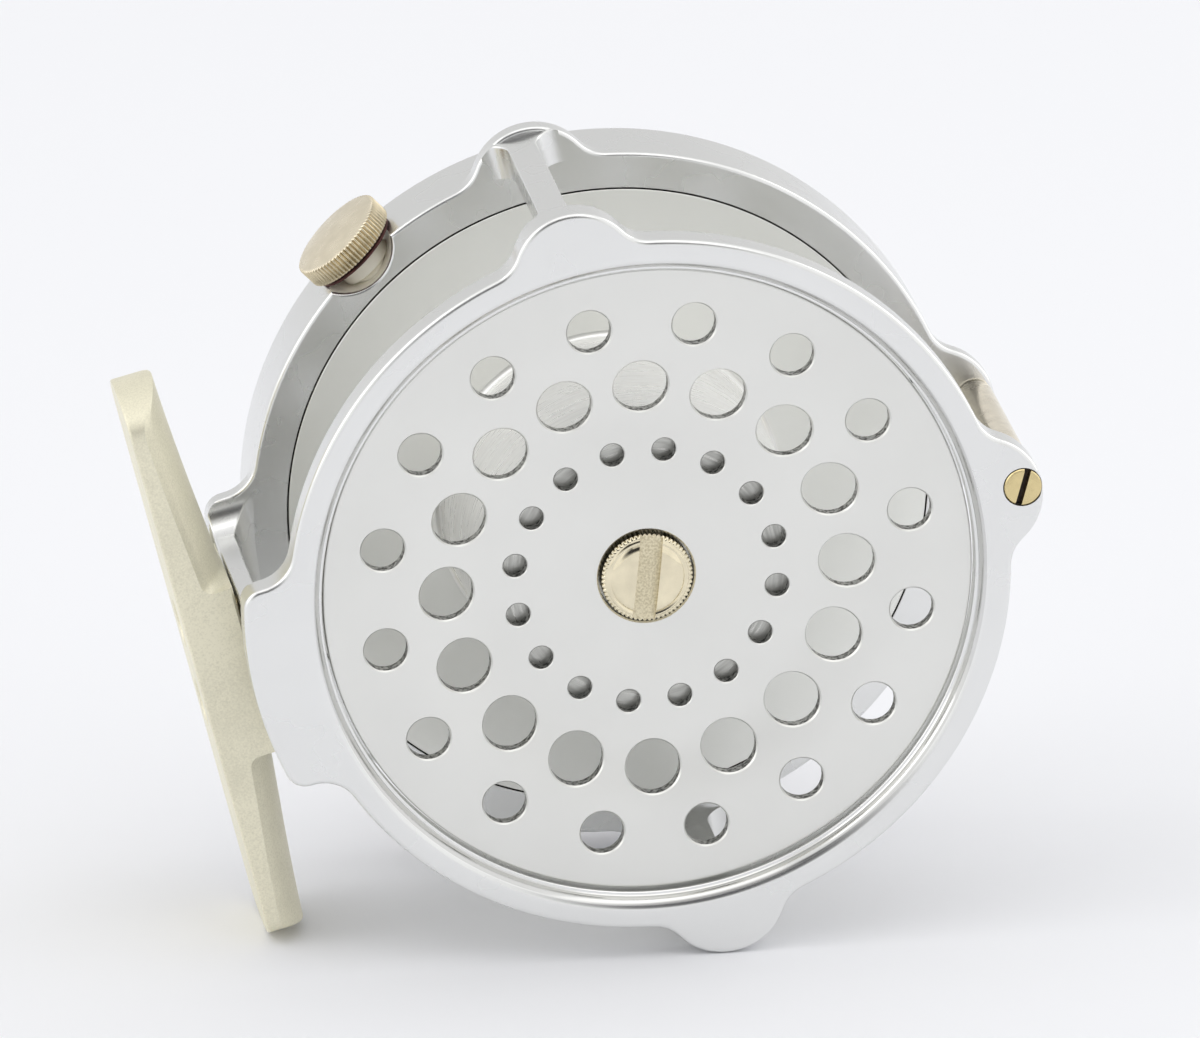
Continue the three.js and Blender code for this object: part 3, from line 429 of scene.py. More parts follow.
def matte(name, dark, light, roughness, scale):
    material, tree, shader = new_material(name, light, roughness, 0.0)
    cloud = noise(tree, scale, 6.0)
    tree.links.new(tint(tree, cloud, dark, light), shader.inputs["Base Color"])
    bump(tree, shader, noise(tree, scale * 4, 4.0), 1.0, MATTE_BUMP)
    return material


def wood(name):
    """Oiled dark hardwood with its grain along the grip."""
    material, tree, shader = new_material(name, (0.2, 0.07, 0.04), 0.32, 0.0)
    coordinates = tree.nodes.new("ShaderNodeTexCoord")
    stretch = tree.nodes.new("ShaderNodeMapping")
    stretch.inputs["Scale"].default_value = GRAIN_STRETCH
    tree.links.new(coordinates.outputs["Object"], stretch.inputs["Vector"])
    grain = noise(tree, 1.0, 8.0, stretch.outputs["Vector"])
    colour = tint(tree, grain, (0.055, 0.018, 0.01), (0.27, 0.1, 0.045), 0.35, 0.65)
    tree.links.new(colour, shader.inputs["Base Color"])
    tree.links.new(remap(tree, grain, 0.42, 0.26), shader.inputs["Roughness"])
    shader.inputs["Coat Weight"].default_value = 0.35
    shader.inputs["Coat Roughness"].default_value = 0.18
    bump(tree, shader, grain, 1.0, GRAIN_BUMP)
    return material


def speckled(name, dark, light, roughness, scale):
    """A rough machined wall or floor with coarse light and dark specks."""
    material, tree, shader = new_material(name, light, roughness, 0.7)
    speck = noise(tree, scale, 3.0)
    tree.links.new(tint(tree, speck, dark, light, 0.38, 0.6), shader.inputs["Base Color"])
    bump(tree, shader, speck, 1.0, SPECK_BUMP)
    return material


FRAME_SILVER = satin_silver("frame_silver", (0.815, 0.818, 0.808), 0.27)
DRUM_SILVER = satin_silver("drum_silver", (0.798, 0.798, 0.77), 0.36)
# Partly painted light: the arbor's brush strokes are real, but its white, partly non-metal colour is
# brighter than the drum metal so that it looks as bright as where light falls on it.
ARBOR_BRUSHED_PAINTED_LIGHT = brushed_arbor("arbor_brushed_painted_light", (1.0, 1.0, 0.99), 0.5, 0.6)
FOOT_CHAMPAGNE = blasted("foot_champagne", (0.87, 0.83, 0.655), 0.44)
KNOB_NICKEL = turned_metal("knob_nickel", (0.88, 0.795, 0.615), 0.3)
# Painted shade: a darker copy of the knob's champagne metal for its knurled side, standing in for the shade
# on the side below the lit top.
KNOB_SIDE_SHADE = turned_metal("knob_side_painted_shade", (0.72, 0.63, 0.45), 0.26)
CAP_GOLD = turned_metal("cap_gold", (0.86, 0.78, 0.58), 0.12, 0.03)
BRASS_GOLD = turned_metal("brass_gold", (0.76, 0.63, 0.34), 0.26)
ROLLER_NICKEL = turned_metal("roller_nickel", (0.94, 0.865, 0.715), 0.24)
STEEL = turned_metal("steel_bright", (0.66, 0.67, 0.68), 0.25)
# The washer's own red, darkened to a deep red-brown as painted shade for the shade it lies in under the
# knob.
WASHER_RED_SHADED = matte("washer_red", (0.05, 0.012, 0.012), (0.11, 0.03, 0.026), 0.75, 900.0)
GRIP_WOOD = wood("grip_wood")
# Painted reflection and painted light: a warm champagne, non-metal colour on the scallop under the knob and
# on the bush in it, standing in for the gold knob reflected there and lightening the shade under the knob.
KNOB_REFLECTION_PAINT = satin_silver("painted_knob_reflection", (0.97, 0.93, 0.8), 0.6, 0.02, 0.0)
# Painted shade: a darker, glossier copy of the frame metal for the near ring's cove, standing in for the
# shaded band there.
COVE_PAINTED_SHADE = satin_silver("cove_painted_shade", (0.66, 0.66, 0.65), 0.16)
# Painted light: a brighter, partly non-metal copy of the drum metal for the drum's far flange face, so that
# it shows as bright as where light falls on it.
FLANGE_PAINTED_LIGHT = satin_silver("flange_painted_light", (0.93, 0.935, 0.895), 0.36, 0.02, 0.55)
PLATE_SILVER = satin_silver("plate_silver", (0.8, 0.805, 0.8), 0.33)
# Painted shade: a darker copy of the arbor's brushed metal for the floor of the small blind holes, standing
# in for the shade down in them.
HOLE_FLOOR_SHADE = brushed_arbor("hole_floor_painted_shade", (0.55, 0.55, 0.52), 0.4)
# Painted shade: the drum holes' walls are made dark, with specks, to stand in for the shade inside the
# holes.
HOLE_WALL_SHADE = speckled("hole_wall_painted_shade", (0.07, 0.07, 0.065), (0.5, 0.5, 0.48), 0.5, 2600.0)
# Painted shade: a near-black matte for narrow slots and gaps where shade falls: the roller screw's slot and
# the gap round the drum's far flange.
SHADE_BLACK = matte("painted_shade_black", (0.012, 0.008, 0.01), (0.05, 0.035, 0.03), 0.7, 2500.0)
CAP_SLOT = speckled("cap_slot", (0.6, 0.53, 0.36), (0.8, 0.73, 0.54), 0.42, 4200.0)

# ---------------------------------------------------------------- outline of the two plates


def raised_arcs(centre, raised):
    """The arcs of one raised stretch: (centre x, z, radius, start, end, convex), in degrees."""
    corner_reach = raised["tip"] - raised["corner"]
    fillet_reach = RING_RADIUS + raised["fillet"]
    reach = raised["corner"] + raised["fillet"]
    cosine = (fillet_reach**2 + corner_reach**2 - reach**2) / (2 * fillet_reach * corner_reach)
    spread = math.degrees(math.acos(cosine))
    arcs = []
    for side in (-1, 1):
        corner_angle = centre + side * raised["half"]
        fillet_angle = corner_angle + side * spread
        corner = polar(corner_reach, corner_angle)
        fillet = polar(fillet_reach, fillet_angle)
        towards = math.degrees(math.atan2(corner[1] - fillet[1], corner[0] - fillet[0]))
        home = fillet_angle + 180
        turn = (towards - home + 180) % 360 - 180
        fillet_arc = (*fillet, raised["fillet"], home, home + turn, False)
        away = corner_angle + ((towards + 180 - corner_angle + 180) % 360 - 180)
        corner_arc = (*corner, raised["corner"], away, corner_angle, True)
        if side < 0:
            arcs += [fillet_arc, corner_arc]
            if raised["half"] > 0:
                arcs.append((0, 0, raised["tip"], corner_angle, centre + raised["half"], True))
        else:
            back = (*corner, raised["corner"], corner_angle, away, True)
            arcs += [back, (*fillet, raised["fillet"], home + turn, home, False)]
    return arcs, centre - raised["half"] - spread, centre + raised["half"] + spread


def plate_outline(step=0.55):
    """Points and outward normals round the lobed outline, about a step apart."""
    places = ((ROLLER_ANGLE, LOBE), (TOP_ANGLE, LOBE), (SEAT_ANGLE, SEAT), (LOW_ANGLE, LOBE))
    arcs = []
    ends = []
    for angle, raised in places:
        stretch, start, end = raised_arcs(angle, raised)
        arcs.append(stretch)
        ends.append((start, end))
    points, normals = [], []
    for index, stretch in enumerate(arcs):
        following = ends[(index + 1) % len(ends)][0] + (360 if index == len(ends) - 1 else 0)
        plain = (0, 0, RING_RADIUS, ends[index][1], following, True)
        for x, z, radius, start, end, convex in [*stretch, plain]:
            steps = max(2, round(abs(math.radians(end - start)) * radius / step))
            for angle in np.radians(np.linspace(start, end, steps, endpoint=False)):
                direction = np.array([math.cos(angle), math.sin(angle)])
                points.append(np.array([x, z]) + radius * direction)
                normals.append(direction if convex else -direction)
    return np.array(points), np.array(normals)


OUTLINE, OUTWARD = plate_outline()


def outline_loop(inset, y):
    flat = OUTLINE - inset * OUTWARD
    return np.stack([flat[:, 0], np.full(len(flat), y), flat[:, 1]], 1)


def matched_circle(radius, y):
    """A circle with one point beside each point of the outline."""
    unit = OUTLINE / np.linalg.norm(OUTLINE, axis=1)[:, None]
    return np.stack([radius * unit[:, 0], np.full(len(unit), y), radius * unit[:, 1]], 1)


def edge_loops(y, direction, round_off, steps=5):
    """Loops that round the outline's edge, from the face at y inwards along direction."""
    loops = []
    for i in range(steps + 1):
        a = math.pi / 2 * i / steps
        inset = round_off * (1 - math.sin(a))
        loops.append(outline_loop(inset, y + direction * round_off * (1 - math.cos(a))))
    return loops


# ---------------------------------------------------------------- cage

NEAR_EDGE = 0.55
FAR_EDGE = 0.45
MOUTH_RADIUS, LEDGE_RADIUS, BORE_RADIUS = 35.8, 34.85, 34.5
PILLAR_ROOT = 37.8
# A bar's waist and outer radius, its width, and how far it widens into the plates
PILLAR = (37.6, 41.4, 3.1, 2.7)
SEAT_BAR = (39.3, 41.4, 17.4, 3.0)
PILLAR_EDGE = 0.22
FLANGE_RADIUS, FLANGE_GAP = 34.08, 0.17
HOUSING_BORE, HOUSING_RADIUS, HOUSING_NEAR = 8.0, 9.5, 11.2
CUP_BORE, CUP_NEAR, CUP_FAR = 34.0, 27.6, 28.4
ROLLER_RADIUS, ROLLER_AXIS = 1.97, 40.18
SCALLOP_RADIUS, SCALLOP_CENTRE, SCALLOP_MOUTH = 4.9, 40.2, 5.3


def near_ring():
    moulding = [
        (BORE_RADIUS, NEAR_BACK - 0.15),
        (BORE_RADIUS, -0.75),
        (BORE_RADIUS + 0.08, -0.83),
        (LEDGE_RADIUS - 0.06, -0.86),
        (LEDGE_RADIUS + 0.06, -1.0),
        *arc((MOUTH_RADIUS + 0.55, -0.72), 1.5, 192, 258, 9),
        (MOUTH_RADIUS + 0.36, NEAR_FACE + 0.05),
        (MOUTH_RADIUS + 0.5, NEAR_FACE),
    ]
    loops = [matched_circle(radius, y) for radius, y in moulding]
    loops += edge_loops(NEAR_FACE, 1, NEAR_EDGE)
    loops += edge_loops(NEAR_BACK, -1, FAR_EDGE)[::-1]
    loops.append(matched_circle(BORE_RADIUS + 0.15, NEAR_BACK))
    return loft("near_ring", loops, closed=True)


def far_flange():
    inner = RING_RADIUS - 2.5
    loops = [matched_circle(inner, FAR_STEP), matched_circle(inner, FAR_FACE)]
    loops += edge_loops(FAR_FACE, 1, FAR_EDGE)
    loops += edge_loops(FAR_STEP, -1, FAR_EDGE)[::-1]
    return loft("far_flange", loops, closed=True)


def far_body():
    pocket = FLANGE_RADIUS + FLANGE_GAP
    return lathe("far_body", [
        (HOUSING_BORE, HOUSING_NEAR),
        (HOUSING_RADIUS, HOUSING_NEAR),
        (HOUSING_RADIUS, CUP_NEAR),
        (pocket, CUP_NEAR),
        (pocket, FAR_FACE + 0.06),
        (pocket + 0.06, FAR_FACE),
        (RING_RADIUS - FAR_EDGE, FAR_FACE),
        *arc((RING_RADIUS - FAR_EDGE, FAR_FACE + FAR_EDGE), FAR_EDGE, -80, 0, 5),
        *arc((RING_RADIUS - 1.0, FAR_END - 1.0), 1.0, 0, 90, 8),
        (CUP_BORE + 0.3, FAR_END),
        (CUP_BORE, FAR_END - 0.3),
        (CUP_BORE, CUP_FAR),
        (HOUSING_BORE, CUP_FAR),
    ], WIDE_SIDES, closed=True)


def pillar(waist, outer, width, flare, degrees):
    """A bar between the plates: its sides and inner face widen into them with a quarter round."""
    half, edge, steps = width / 2, PILLAR_EDGE, 12
    stations = [(NEAR_BACK - 0.9, flare)]
    for i in range(steps + 1):
        a = math.pi / 2 * i / steps
        stations.append((NEAR_BACK + flare * (1 - math.cos(a)), flare * (1 - math.sin(a))))
    stations += [(FAR_FACE - (y - NEAR_BACK), grow) for y, grow in stations[::-1]]
    loops = []
    for y, grow in stations:
        wide, inner = half + grow, waist - grow
        section = []
        for x, z, start in (
            (outer - edge, wide - edge, 0),
            (inner + edge, wide - edge, 90),
            (inner + edge, -wide + edge, 180),
            (outer - edge, -wide + edge, 270),
        ):
            section += arc((x, z), edge, start, start + 90, 4)
        loops.append([(x, y, z) for x, z in section])
    return turn_to(loft("pillar", loops), degrees)


def make_bars():
    bars = pillar(*PILLAR, TOP_ANGLE + PILLAR_LEAN)
    boolean(bars, [
        pillar(*PILLAR, LOW_ANGLE + PILLAR_LEAN),
        pillar(*SEAT_BAR, FOOT_ANGLE),
    ], "UNION")
    near, far, inset = NEAR_BACK - 0.7, FAR_FACE + 0.7, 0.03
    space = loft("space", [
        matched_circle(PILLAR_ROOT, near),
        outline_loop(inset, near),
        outline_loop(inset, far),
        matched_circle(PILLAR_ROOT, far),
    ], closed=True)
    return boolean(bars, [space], "INTERSECT")


def make_cage():
    cage = near_ring()
    boolean(cage, [far_body(), far_flange(), make_bars()], "UNION")
    scallop = lathe("scallop", [
        (0, FAR_FACE - 2),
        (SCALLOP_MOUTH, FAR_FACE - 2),
        (SCALLOP_MOUTH, FAR_FACE),
        *arc((SCALLOP_MOUTH, FAR_FACE + 0.4), 0.4, 260, 190, 4),
        (SCALLOP_RADIUS, FAR_FACE + 0.45),
        (SCALLOP_RADIUS, FAR_END + 2),
        (0, FAR_END + 2),
    ], ROUND_SIDES)
    turn_to(shift(scallop, SCALLOP_CENTRE, 0, 0), REGULATOR_ANGLE)
    bush_hole = lathe("bush", [(0, 33.6), (2.5, 33.6), (2.5, 37.3), (0, 37.3)], HOLE_SIDES)
    turn_to(radial(bush_hole, REGULATOR_DEPTH), REGULATOR_ANGLE)
    x, z = polar(ROLLER_AXIS, ROLLER_ANGLE)
    seat = lathe("seat", [
        (0, -3), (2.11, -3), (2.11, -2.2), (2.06, -2.12), (2.06, -0.6), (1.3, -0.6), (1.3, 28.4), (0, 28.4),
    ], HOLE_SIDES)
    cutters = [scallop, bush_hole, shift(seat, x, 0, z)]
    for side in (-1, 1):
        screw = lathe("screw", [
            (0, PILLAR_ROOT - 1), (1.5, PILLAR_ROOT - 1), (1.5, 43), (0, 43),
        ], HIDDEN_SIDES)
        cutters.append(turn_to(radial(screw, FOOT_MIDDLE, side * SCREW_OFFSET), FOOT_ANGLE))
    boolean(cage, cutters)
    piece = finish_piece(cage, "frame_body", "frame", "frame_cage", FRAME_SILVER)
    sx, sz = polar(SCALLOP_CENTRE, REGULATOR_ANGLE)

    def in_scallop(x, y, z):
        return FAR_FACE + 0.5 < y < FAR_END + 0.1 and math.hypot(x - sx, z - sz) < SCALLOP_RADIUS + TOUCH

    def in_gap(x, y, z):
        return FAR_FACE + 0.06 < y < CUP_NEAR and abs(math.hypot(x, z) - FLANGE_RADIUS - FLANGE_GAP) < TOUCH

    def in_cove(x, y, z):
        return -1.95 < y < -0.84 and LEDGE_RADIUS - 0.1 < math.hypot(x, z) < MOUTH_RADIUS + 0.4

    # The scallop under the knob gets the painted knob reflection.
    paint(piece, KNOB_REFLECTION_PAINT, in_scallop)
    # The wall of the gap round the drum flange is painted black for its shade.
    paint(piece, SHADE_BLACK, in_gap, walls_only=True)
    # The cove in the near ring's mouth gets the darker painted shade.
    return paint(piece, COVE_PAINTED_SHADE, in_cove)


FOOT_NEAR, FOOT_FAR = 7.1, 21.3
FOOT_MIDDLE = (FOOT_NEAR + FOOT_FAR) / 2
SCREW_OFFSET = 4.6
make_cage()

# ---------------------------------------------------------------- foot

SADDLE_HALF, SADDLE, ROD_FACE = 9.5, 41.7, 47.75
CROWN, CROWN_TOP, CROWN_SLOPE = 10.8, 41.75, 5.2
TOES = {1: {"length": 30.65, "tip": 14.9}, -1: {"length": 32.3, "tip": 9.3}}
TOE_DROP, TOE_DROP_START, TOE_DROP_LENGTH = 0.35, 18, 14
SADDLE_BLEND = 1.1
FOOT_EDGE = 0.28
ACROSS_POINTS = 33
# Where the foot's sections lie: from its middle outwards, and from each tip inwards
MIDDLE_REACHES = (0.5, 3, 6, 9.2, 9.42, 9.5 - 1e-3, 9.5 + 1e-3, 9.53, 9.6, 9.75, 9.95, 10.2, 10.6,
                  12, 14, 16, 18, 20, 22, 24)
TIP_REACHES = (5.6, 4.8, 4.2, 3.7, 3.3, 2.9, 2.5, 2.1, 1.7, 1.3, 0.9, 0.6, 0.35, 0.18, 0.07, 0.01)


def foot_half_width(z):
    """Half the foot's width at a place along it: straight, then a round toe tip."""
    toe = TOES[1 if z > 0 else -1]
    half = (FOOT_FAR - FOOT_NEAR) / 2
    beyond = abs(z) - (toe["length"] - toe["tip"])
    if beyond <= 0:
        return half
    tip = math.sqrt(max(toe["tip"] ** 2 - beyond**2, 0.0))
    soft = 2.2
    return max(-math.log(math.exp(-soft * half) + math.exp(-soft * tip)) / soft, 0.05)


def foot_top(z, across):
    """Distance from the drum axis to the foot's reel side."""
    reach = abs(z)
    full = CROWN_TOP + max(reach - SADDLE_HALF + 1, 0) * math.tan(math.radians(CROWN_SLOPE))
    full -= TOE_DROP * max((reach - TOE_DROP_START) / TOE_DROP_LENGTH, 0) ** 2
    crown = full + CROWN - math.sqrt(CROWN**2 - across**2)
    past = reach - SADDLE_HALF
    if past <= 0:
        return SADDLE
    if past < SADDLE_BLEND:
        crown -= SADDLE_BLEND - math.sqrt(SADDLE_BLEND**2 - (SADDLE_BLEND - past) ** 2)
    return max(SADDLE, crown)


def foot_section(z):
    half = foot_half_width(z)
    edge = min(FOOT_EDGE, 0.35 * half)
    section = []
    for side, start in ((1, 0), (-1, 270)):
        corner = (ROD_FACE - edge, side * (half - edge))
        section.append((start, arc(corner, edge, start, start + 90, 4)))
    far_corner, near_corner = section[0][1], section[1][1]
    top = []
    for across in np.linspace(half, -half, ACROSS_POINTS):
        height = foot_top(z, abs(across))
        gap = half - abs(across)
        if gap < edge:
            height += edge - math.sqrt(max(edge**2 - (edge - gap) ** 2, 0))
        top.append((height, across))
    return near_corner + far_corner + top


def make_foot():
    places = []
    for side in (-1, 1):
        reaches = [*MIDDLE_REACHES, *(TOES[side]["length"] - back for back in TIP_REACHES)]
        places += [side * reach for reach in reaches]
    places.sort()
    loops = [[(x, FOOT_MIDDLE + y, z) for x, y in foot_section(z)] for z in places]
    foot = loft("foot", loops)
    cutters = []
    for side in (-1, 1):
        hole = lathe("hole", [
            (0, 40), (1.5, 40), (1.5, ROD_FACE - 1.5), (2.45, ROD_FACE - 0.3), (2.7, ROD_FACE + 0.1),
            (2.7, ROD_FACE + 1), (0, ROD_FACE + 1),
        ], HOLE_SIDES)
        cutters.append(radial(hole, FOOT_MIDDLE, side * SCREW_OFFSET))
    boolean(foot, cutters)
    turn_to(foot, FOOT_ANGLE)
    return finish_piece(foot, "foot_body", "frame", "reel_foot", FOOT_CHAMPAGNE,
                        FOOT_SHARP_ANGLE)


def make_foot_screw(side, node):
    top = ROD_FACE - 0.25
    screw = lathe("screw", [
        (0, 39.5), (1.0, 39.5), (1.2, 39.8), (1.2, top - 1.2), (2.2, top - 0.16), (2.2, top - 0.08),
        (2.1, top), (0, top),
    ], HOLE_SIDES)
    cutter = box(-0.3, 0.3, top - 0.6, top + 1, -4, 4)
    boolean(screw, [cutter])
    turn_to(radial(screw, FOOT_MIDDLE, side * SCREW_OFFSET), FOOT_ANGLE)
    return finish_piece(screw, node + "_body", "frame", node, BRASS_GOLD)


make_foot()
make_foot_screw(-1, "foot_screw_upper")
make_foot_screw(1, "foot_screw_lower")

# ---------------------------------------------------------------- line roller

ROLLER_GAP, ROLLER_BORE, ROLLER_EDGE = 0.25, 1.3, 0.15
ROLLER_SLOT_WIDTH, ROLLER_SLOT_DEPTH, ROLLER_LEAN = 0.66, 1.0, 15.0


def make_roller():
    x, z = polar(ROLLER_AXIS, ROLLER_ANGLE)
    near, far, bore, edge = NEAR_BACK + ROLLER_GAP, FAR_FACE - ROLLER_GAP, ROLLER_BORE, ROLLER_EDGE
    sleeve = lathe("sleeve", [
        (bore, near),
        *arc((ROLLER_RADIUS - edge, near + edge), edge, -90, 0, 3),
        *arc((ROLLER_RADIUS - edge, far - edge), edge, 0, 90, 3),
        (bore, far),
    ], SCREW_SIDES, closed=True)
    shift(sleeve, x, 0, z)
    finish_piece(sleeve, "roller_body", "roller", "roller_pillar", ROLLER_NICKEL)
    top, base, radius = -2.4, -0.9, 1.98
    screw = lathe("screw", [
        (0, top - 0.03), (radius - 0.3, top), (radius - 0.1, top + 0.06), (radius, top + 0.18),
        (radius, base), (1.0, base), (1.0, 28.1), (0, 28.1),
    ], SCREW_SIDES)
    boolean(screw, [slot_cutter(ROLLER_SLOT_WIDTH, ROLLER_SLOT_DEPTH, 6, top, ROLLER_LEAN)])
    shift(screw, x, 0, z)
    piece = finish_piece(screw, "roller_screw_body", "frame", "roller_screw", BRASS_GOLD)
    lean = math.radians(ROLLER_LEAN)

    def in_slot(px, py, pz):
        side = (px - x) * math.cos(lean) - (pz - z) * math.sin(lean)
        return top + 0.1 < py < base and abs(side) < ROLLER_SLOT_WIDTH / 2 + 0.07

    # The screw slot's walls are painted near-black for their shade.
    return paint(piece, SHADE_BLACK, in_slot)


make_roller()

# ---------------------------------------------------------------- drum

DISH_START, DISH_WIDTH, DISH_DEPTH = 27.5, 10.5, 1.25
RECESS_RADIUS, RECESS_DEPTH, DRUM_PLATE = 5.08, 3.6, 1.45
SPINDLE_BORE = 3.3


def dish(radius):
    """How far the drum's face lies behind its rim."""
    t = min(max((DISH_START - radius) / DISH_WIDTH, 0.0), 1.0)
    return DISH_DEPTH * t * t * (3 - 2 * t)


def hole_cutter(ring, degrees):
    """A hole whose chamfered mouth follows the dished face."""
    x, z = polar(ring["radius"], degrees)
    chamfer = ring["chamfer"]
    loops = []
    wide = ring["hole"] + chamfer
    for radius, below in ((wide, -0.8), (wide, 0.0), (ring["hole"], chamfer)):
        loop = circle(radius, 0, ring["sides"]) + np.array((x, 0, z))
        loop[:, 1] = [dish(math.hypot(px, pz)) + below for px, _, pz in loop]
        loops.append(loop)
    end = circle(ring["hole"], ring["depth"] + ring["reach"], ring["sides"])
    loops.append(end + np.array((x, 0, z)))
    return loft("hole", loops)


def make_drum():
    recess, floor, plate = RECESS_RADIUS, RECESS_DEPTH, DRUM_PLATE
    face = [(radius, dish(radius)) for radius in np.linspace(recess + 0.16, 29.0, 36)]
    drum = lathe("drum", [
        (SPINDLE_BORE, floor),
        (recess, floor),
        (recess, dish(recess) + 0.16),
        *face,
        (DRUM_RADIUS - 0.25, 0.0),
        *arc((DRUM_RADIUS - 0.25, 0.25), 0.25, -60, 0, 3),
        (DRUM_RADIUS, plate - 0.15),
        (DRUM_RADIUS - 0.15, plate),
        (26.5, plate),
        (ARBOR_RADIUS + 1.3, plate + 1.0),
        *arc((ARBOR_RADIUS + 1.0, plate + 2.0), 1.0, 250, 180, 5),
        *arc((ARBOR_RADIUS + 0.8, FAR_FACE - 0.8), 0.8, 180, 90, 6),
        (FLANGE_RADIUS - 0.06, FAR_FACE),
        (FLANGE_RADIUS, FAR_FACE + 0.06),
        (FLANGE_RADIUS, FAR_FACE + 1.0),
        (16.3, FAR_FACE + 1.0),
        (16.3, plate + 1.6),
        (7.4, plate + 1.6),
        (7.4, 10.0),
        (SPINDLE_BORE, 10.0),
    ], DRUM_SIDES, closed=True)
    cutters = []
    for ring in HOLE_RINGS:
        for index in range(HOLES_PER_RING):
            cutters.append(hole_cutter(ring, ring["first"] - index * 360 / HOLES_PER_RING))
    boolean(drum, cutters)
    piece = finish_piece(drum, "drum_body", "drum", "drum", DRUM_SILVER)
    step = 360 / HOLES_PER_RING

    def on_arbor(x, y, z):
        return abs(math.hypot(x, z) - ARBOR_RADIUS) < 0.4 and 2.6 < y < FAR_FACE - 0.2

    def in_hole(x, y, z):
        if not 0.15 < y < 3.2:
            return False
        for ring in HOLE_RINGS:
            if not ring["depth"] + 0.15 < y < ring["depth"] + 2.6:
                continue
            if abs(math.hypot(x, z) - ring["radius"]) > ring["hole"] + TOUCH:
                continue
            angle = math.degrees(math.atan2(z, x))
            index = round((ring["first"] - angle) / step)
            hx, hz = polar(ring["radius"], ring["first"] - index * step)
            if abs(math.hypot(x - hx, z - hz) - ring["hole"]) < TOUCH:
                return True
        return False

    def on_floor(x, y, z):
        ring = HOLE_RINGS[-1]
        return (
            abs(y - ring["depth"] - ring["reach"]) < TOUCH
            and abs(math.hypot(x, z) - ring["radius"]) < 2
        )

    def on_flange(x, y, z):
        return FAR_FACE - 0.3 < y < FAR_FACE + 0.2 and math.hypot(x, z) > ARBOR_RADIUS + 0.5

    def on_rim(x, y, z):
        return y > FAR_FACE + 0.06 and abs(math.hypot(x, z) - FLANGE_RADIUS) < TOUCH

    # The arbor gets the brightened brushed metal: painted light on real brushing.
    paint(piece, ARBOR_BRUSHED_PAINTED_LIGHT, on_arbor)
    # The far flange's face gets the brighter painted light.
    paint(piece, FLANGE_PAINTED_LIGHT, on_flange)
    # The drum flange's rim in that gap is painted black for its shade too.
    paint(piece, SHADE_BLACK, on_rim, walls_only=True)
    # The hole walls get the dark painted shade.
    paint(piece, HOLE_WALL_SHADE, in_hole, walls_only=True)
    # The small holes' floor gets the darker brushed metal as painted shade.
    return paint(piece, HOLE_FLOOR_SHADE, on_floor)


make_drum()

CAP_RADIUS, CAP_TEETH, CAP_TOOTH = 4.82, 60, 0.2
CAP_SLOT_WIDTH, CAP_SLOT_DEPTH, CAP_LEAN = 2.4, 0.8, 5.5


def make_cap():
    radius, teeth, tooth = CAP_RADIUS, CAP_TEETH, CAP_TOOTH
    count = teeth * KNURL_SIDES
    head = loft("cap", [
        circle(1.6, 9.3, count),
        circle(1.6, 3.3, count),
        circle(radius - 0.4, 3.3, count),
        knurled(radius, 3.0, teeth, tooth),
        knurled(radius, 0.74, teeth, tooth),
        knurled(radius - 0.2, 0.56, teeth, tooth * 0.8),
        circle(radius - 0.42, 0.5, count),
        circle(4.36, 0.5, count),
        circle(4.26, 0.4, count),
        circle(4.1, 0.36, count),
        circle(3.96, 0.42, count),
        circle(3.88, 0.44, count),
        circle(3.78, 0.36, count),
        circle(3.6, 0.22, count),
        circle(3.2, 0.12, count),
        circle(2.6, 0.07, count),
        circle(1.8, 0.03, count),
        circle(0.9, 0.008, count),
        [(0, 0, 0)],
    ])
    boolean(head, [slot_cutter(CAP_SLOT_WIDTH, CAP_SLOT_DEPTH, 14, 0.0, CAP_LEAN)])
    piece = finish_piece(head, "cap_body", "drum", "drum_cap", CAP_GOLD)

    def on_slot_floor(x, y, z):
        return 0.7 < y < CAP_SLOT_DEPTH + TOUCH and math.hypot(x, z) < 4.7

    return paint(piece, CAP_SLOT, on_slot_floor)


make_cap()

# ---------------------------------------------------------------- regulator

KNOB_RADIUS, KNOB_INNER, KNOB_OUTER = 5.42, 38.5, 40.85
KNOB_TEETH, KNOB_TOOTH = 72, 0.26


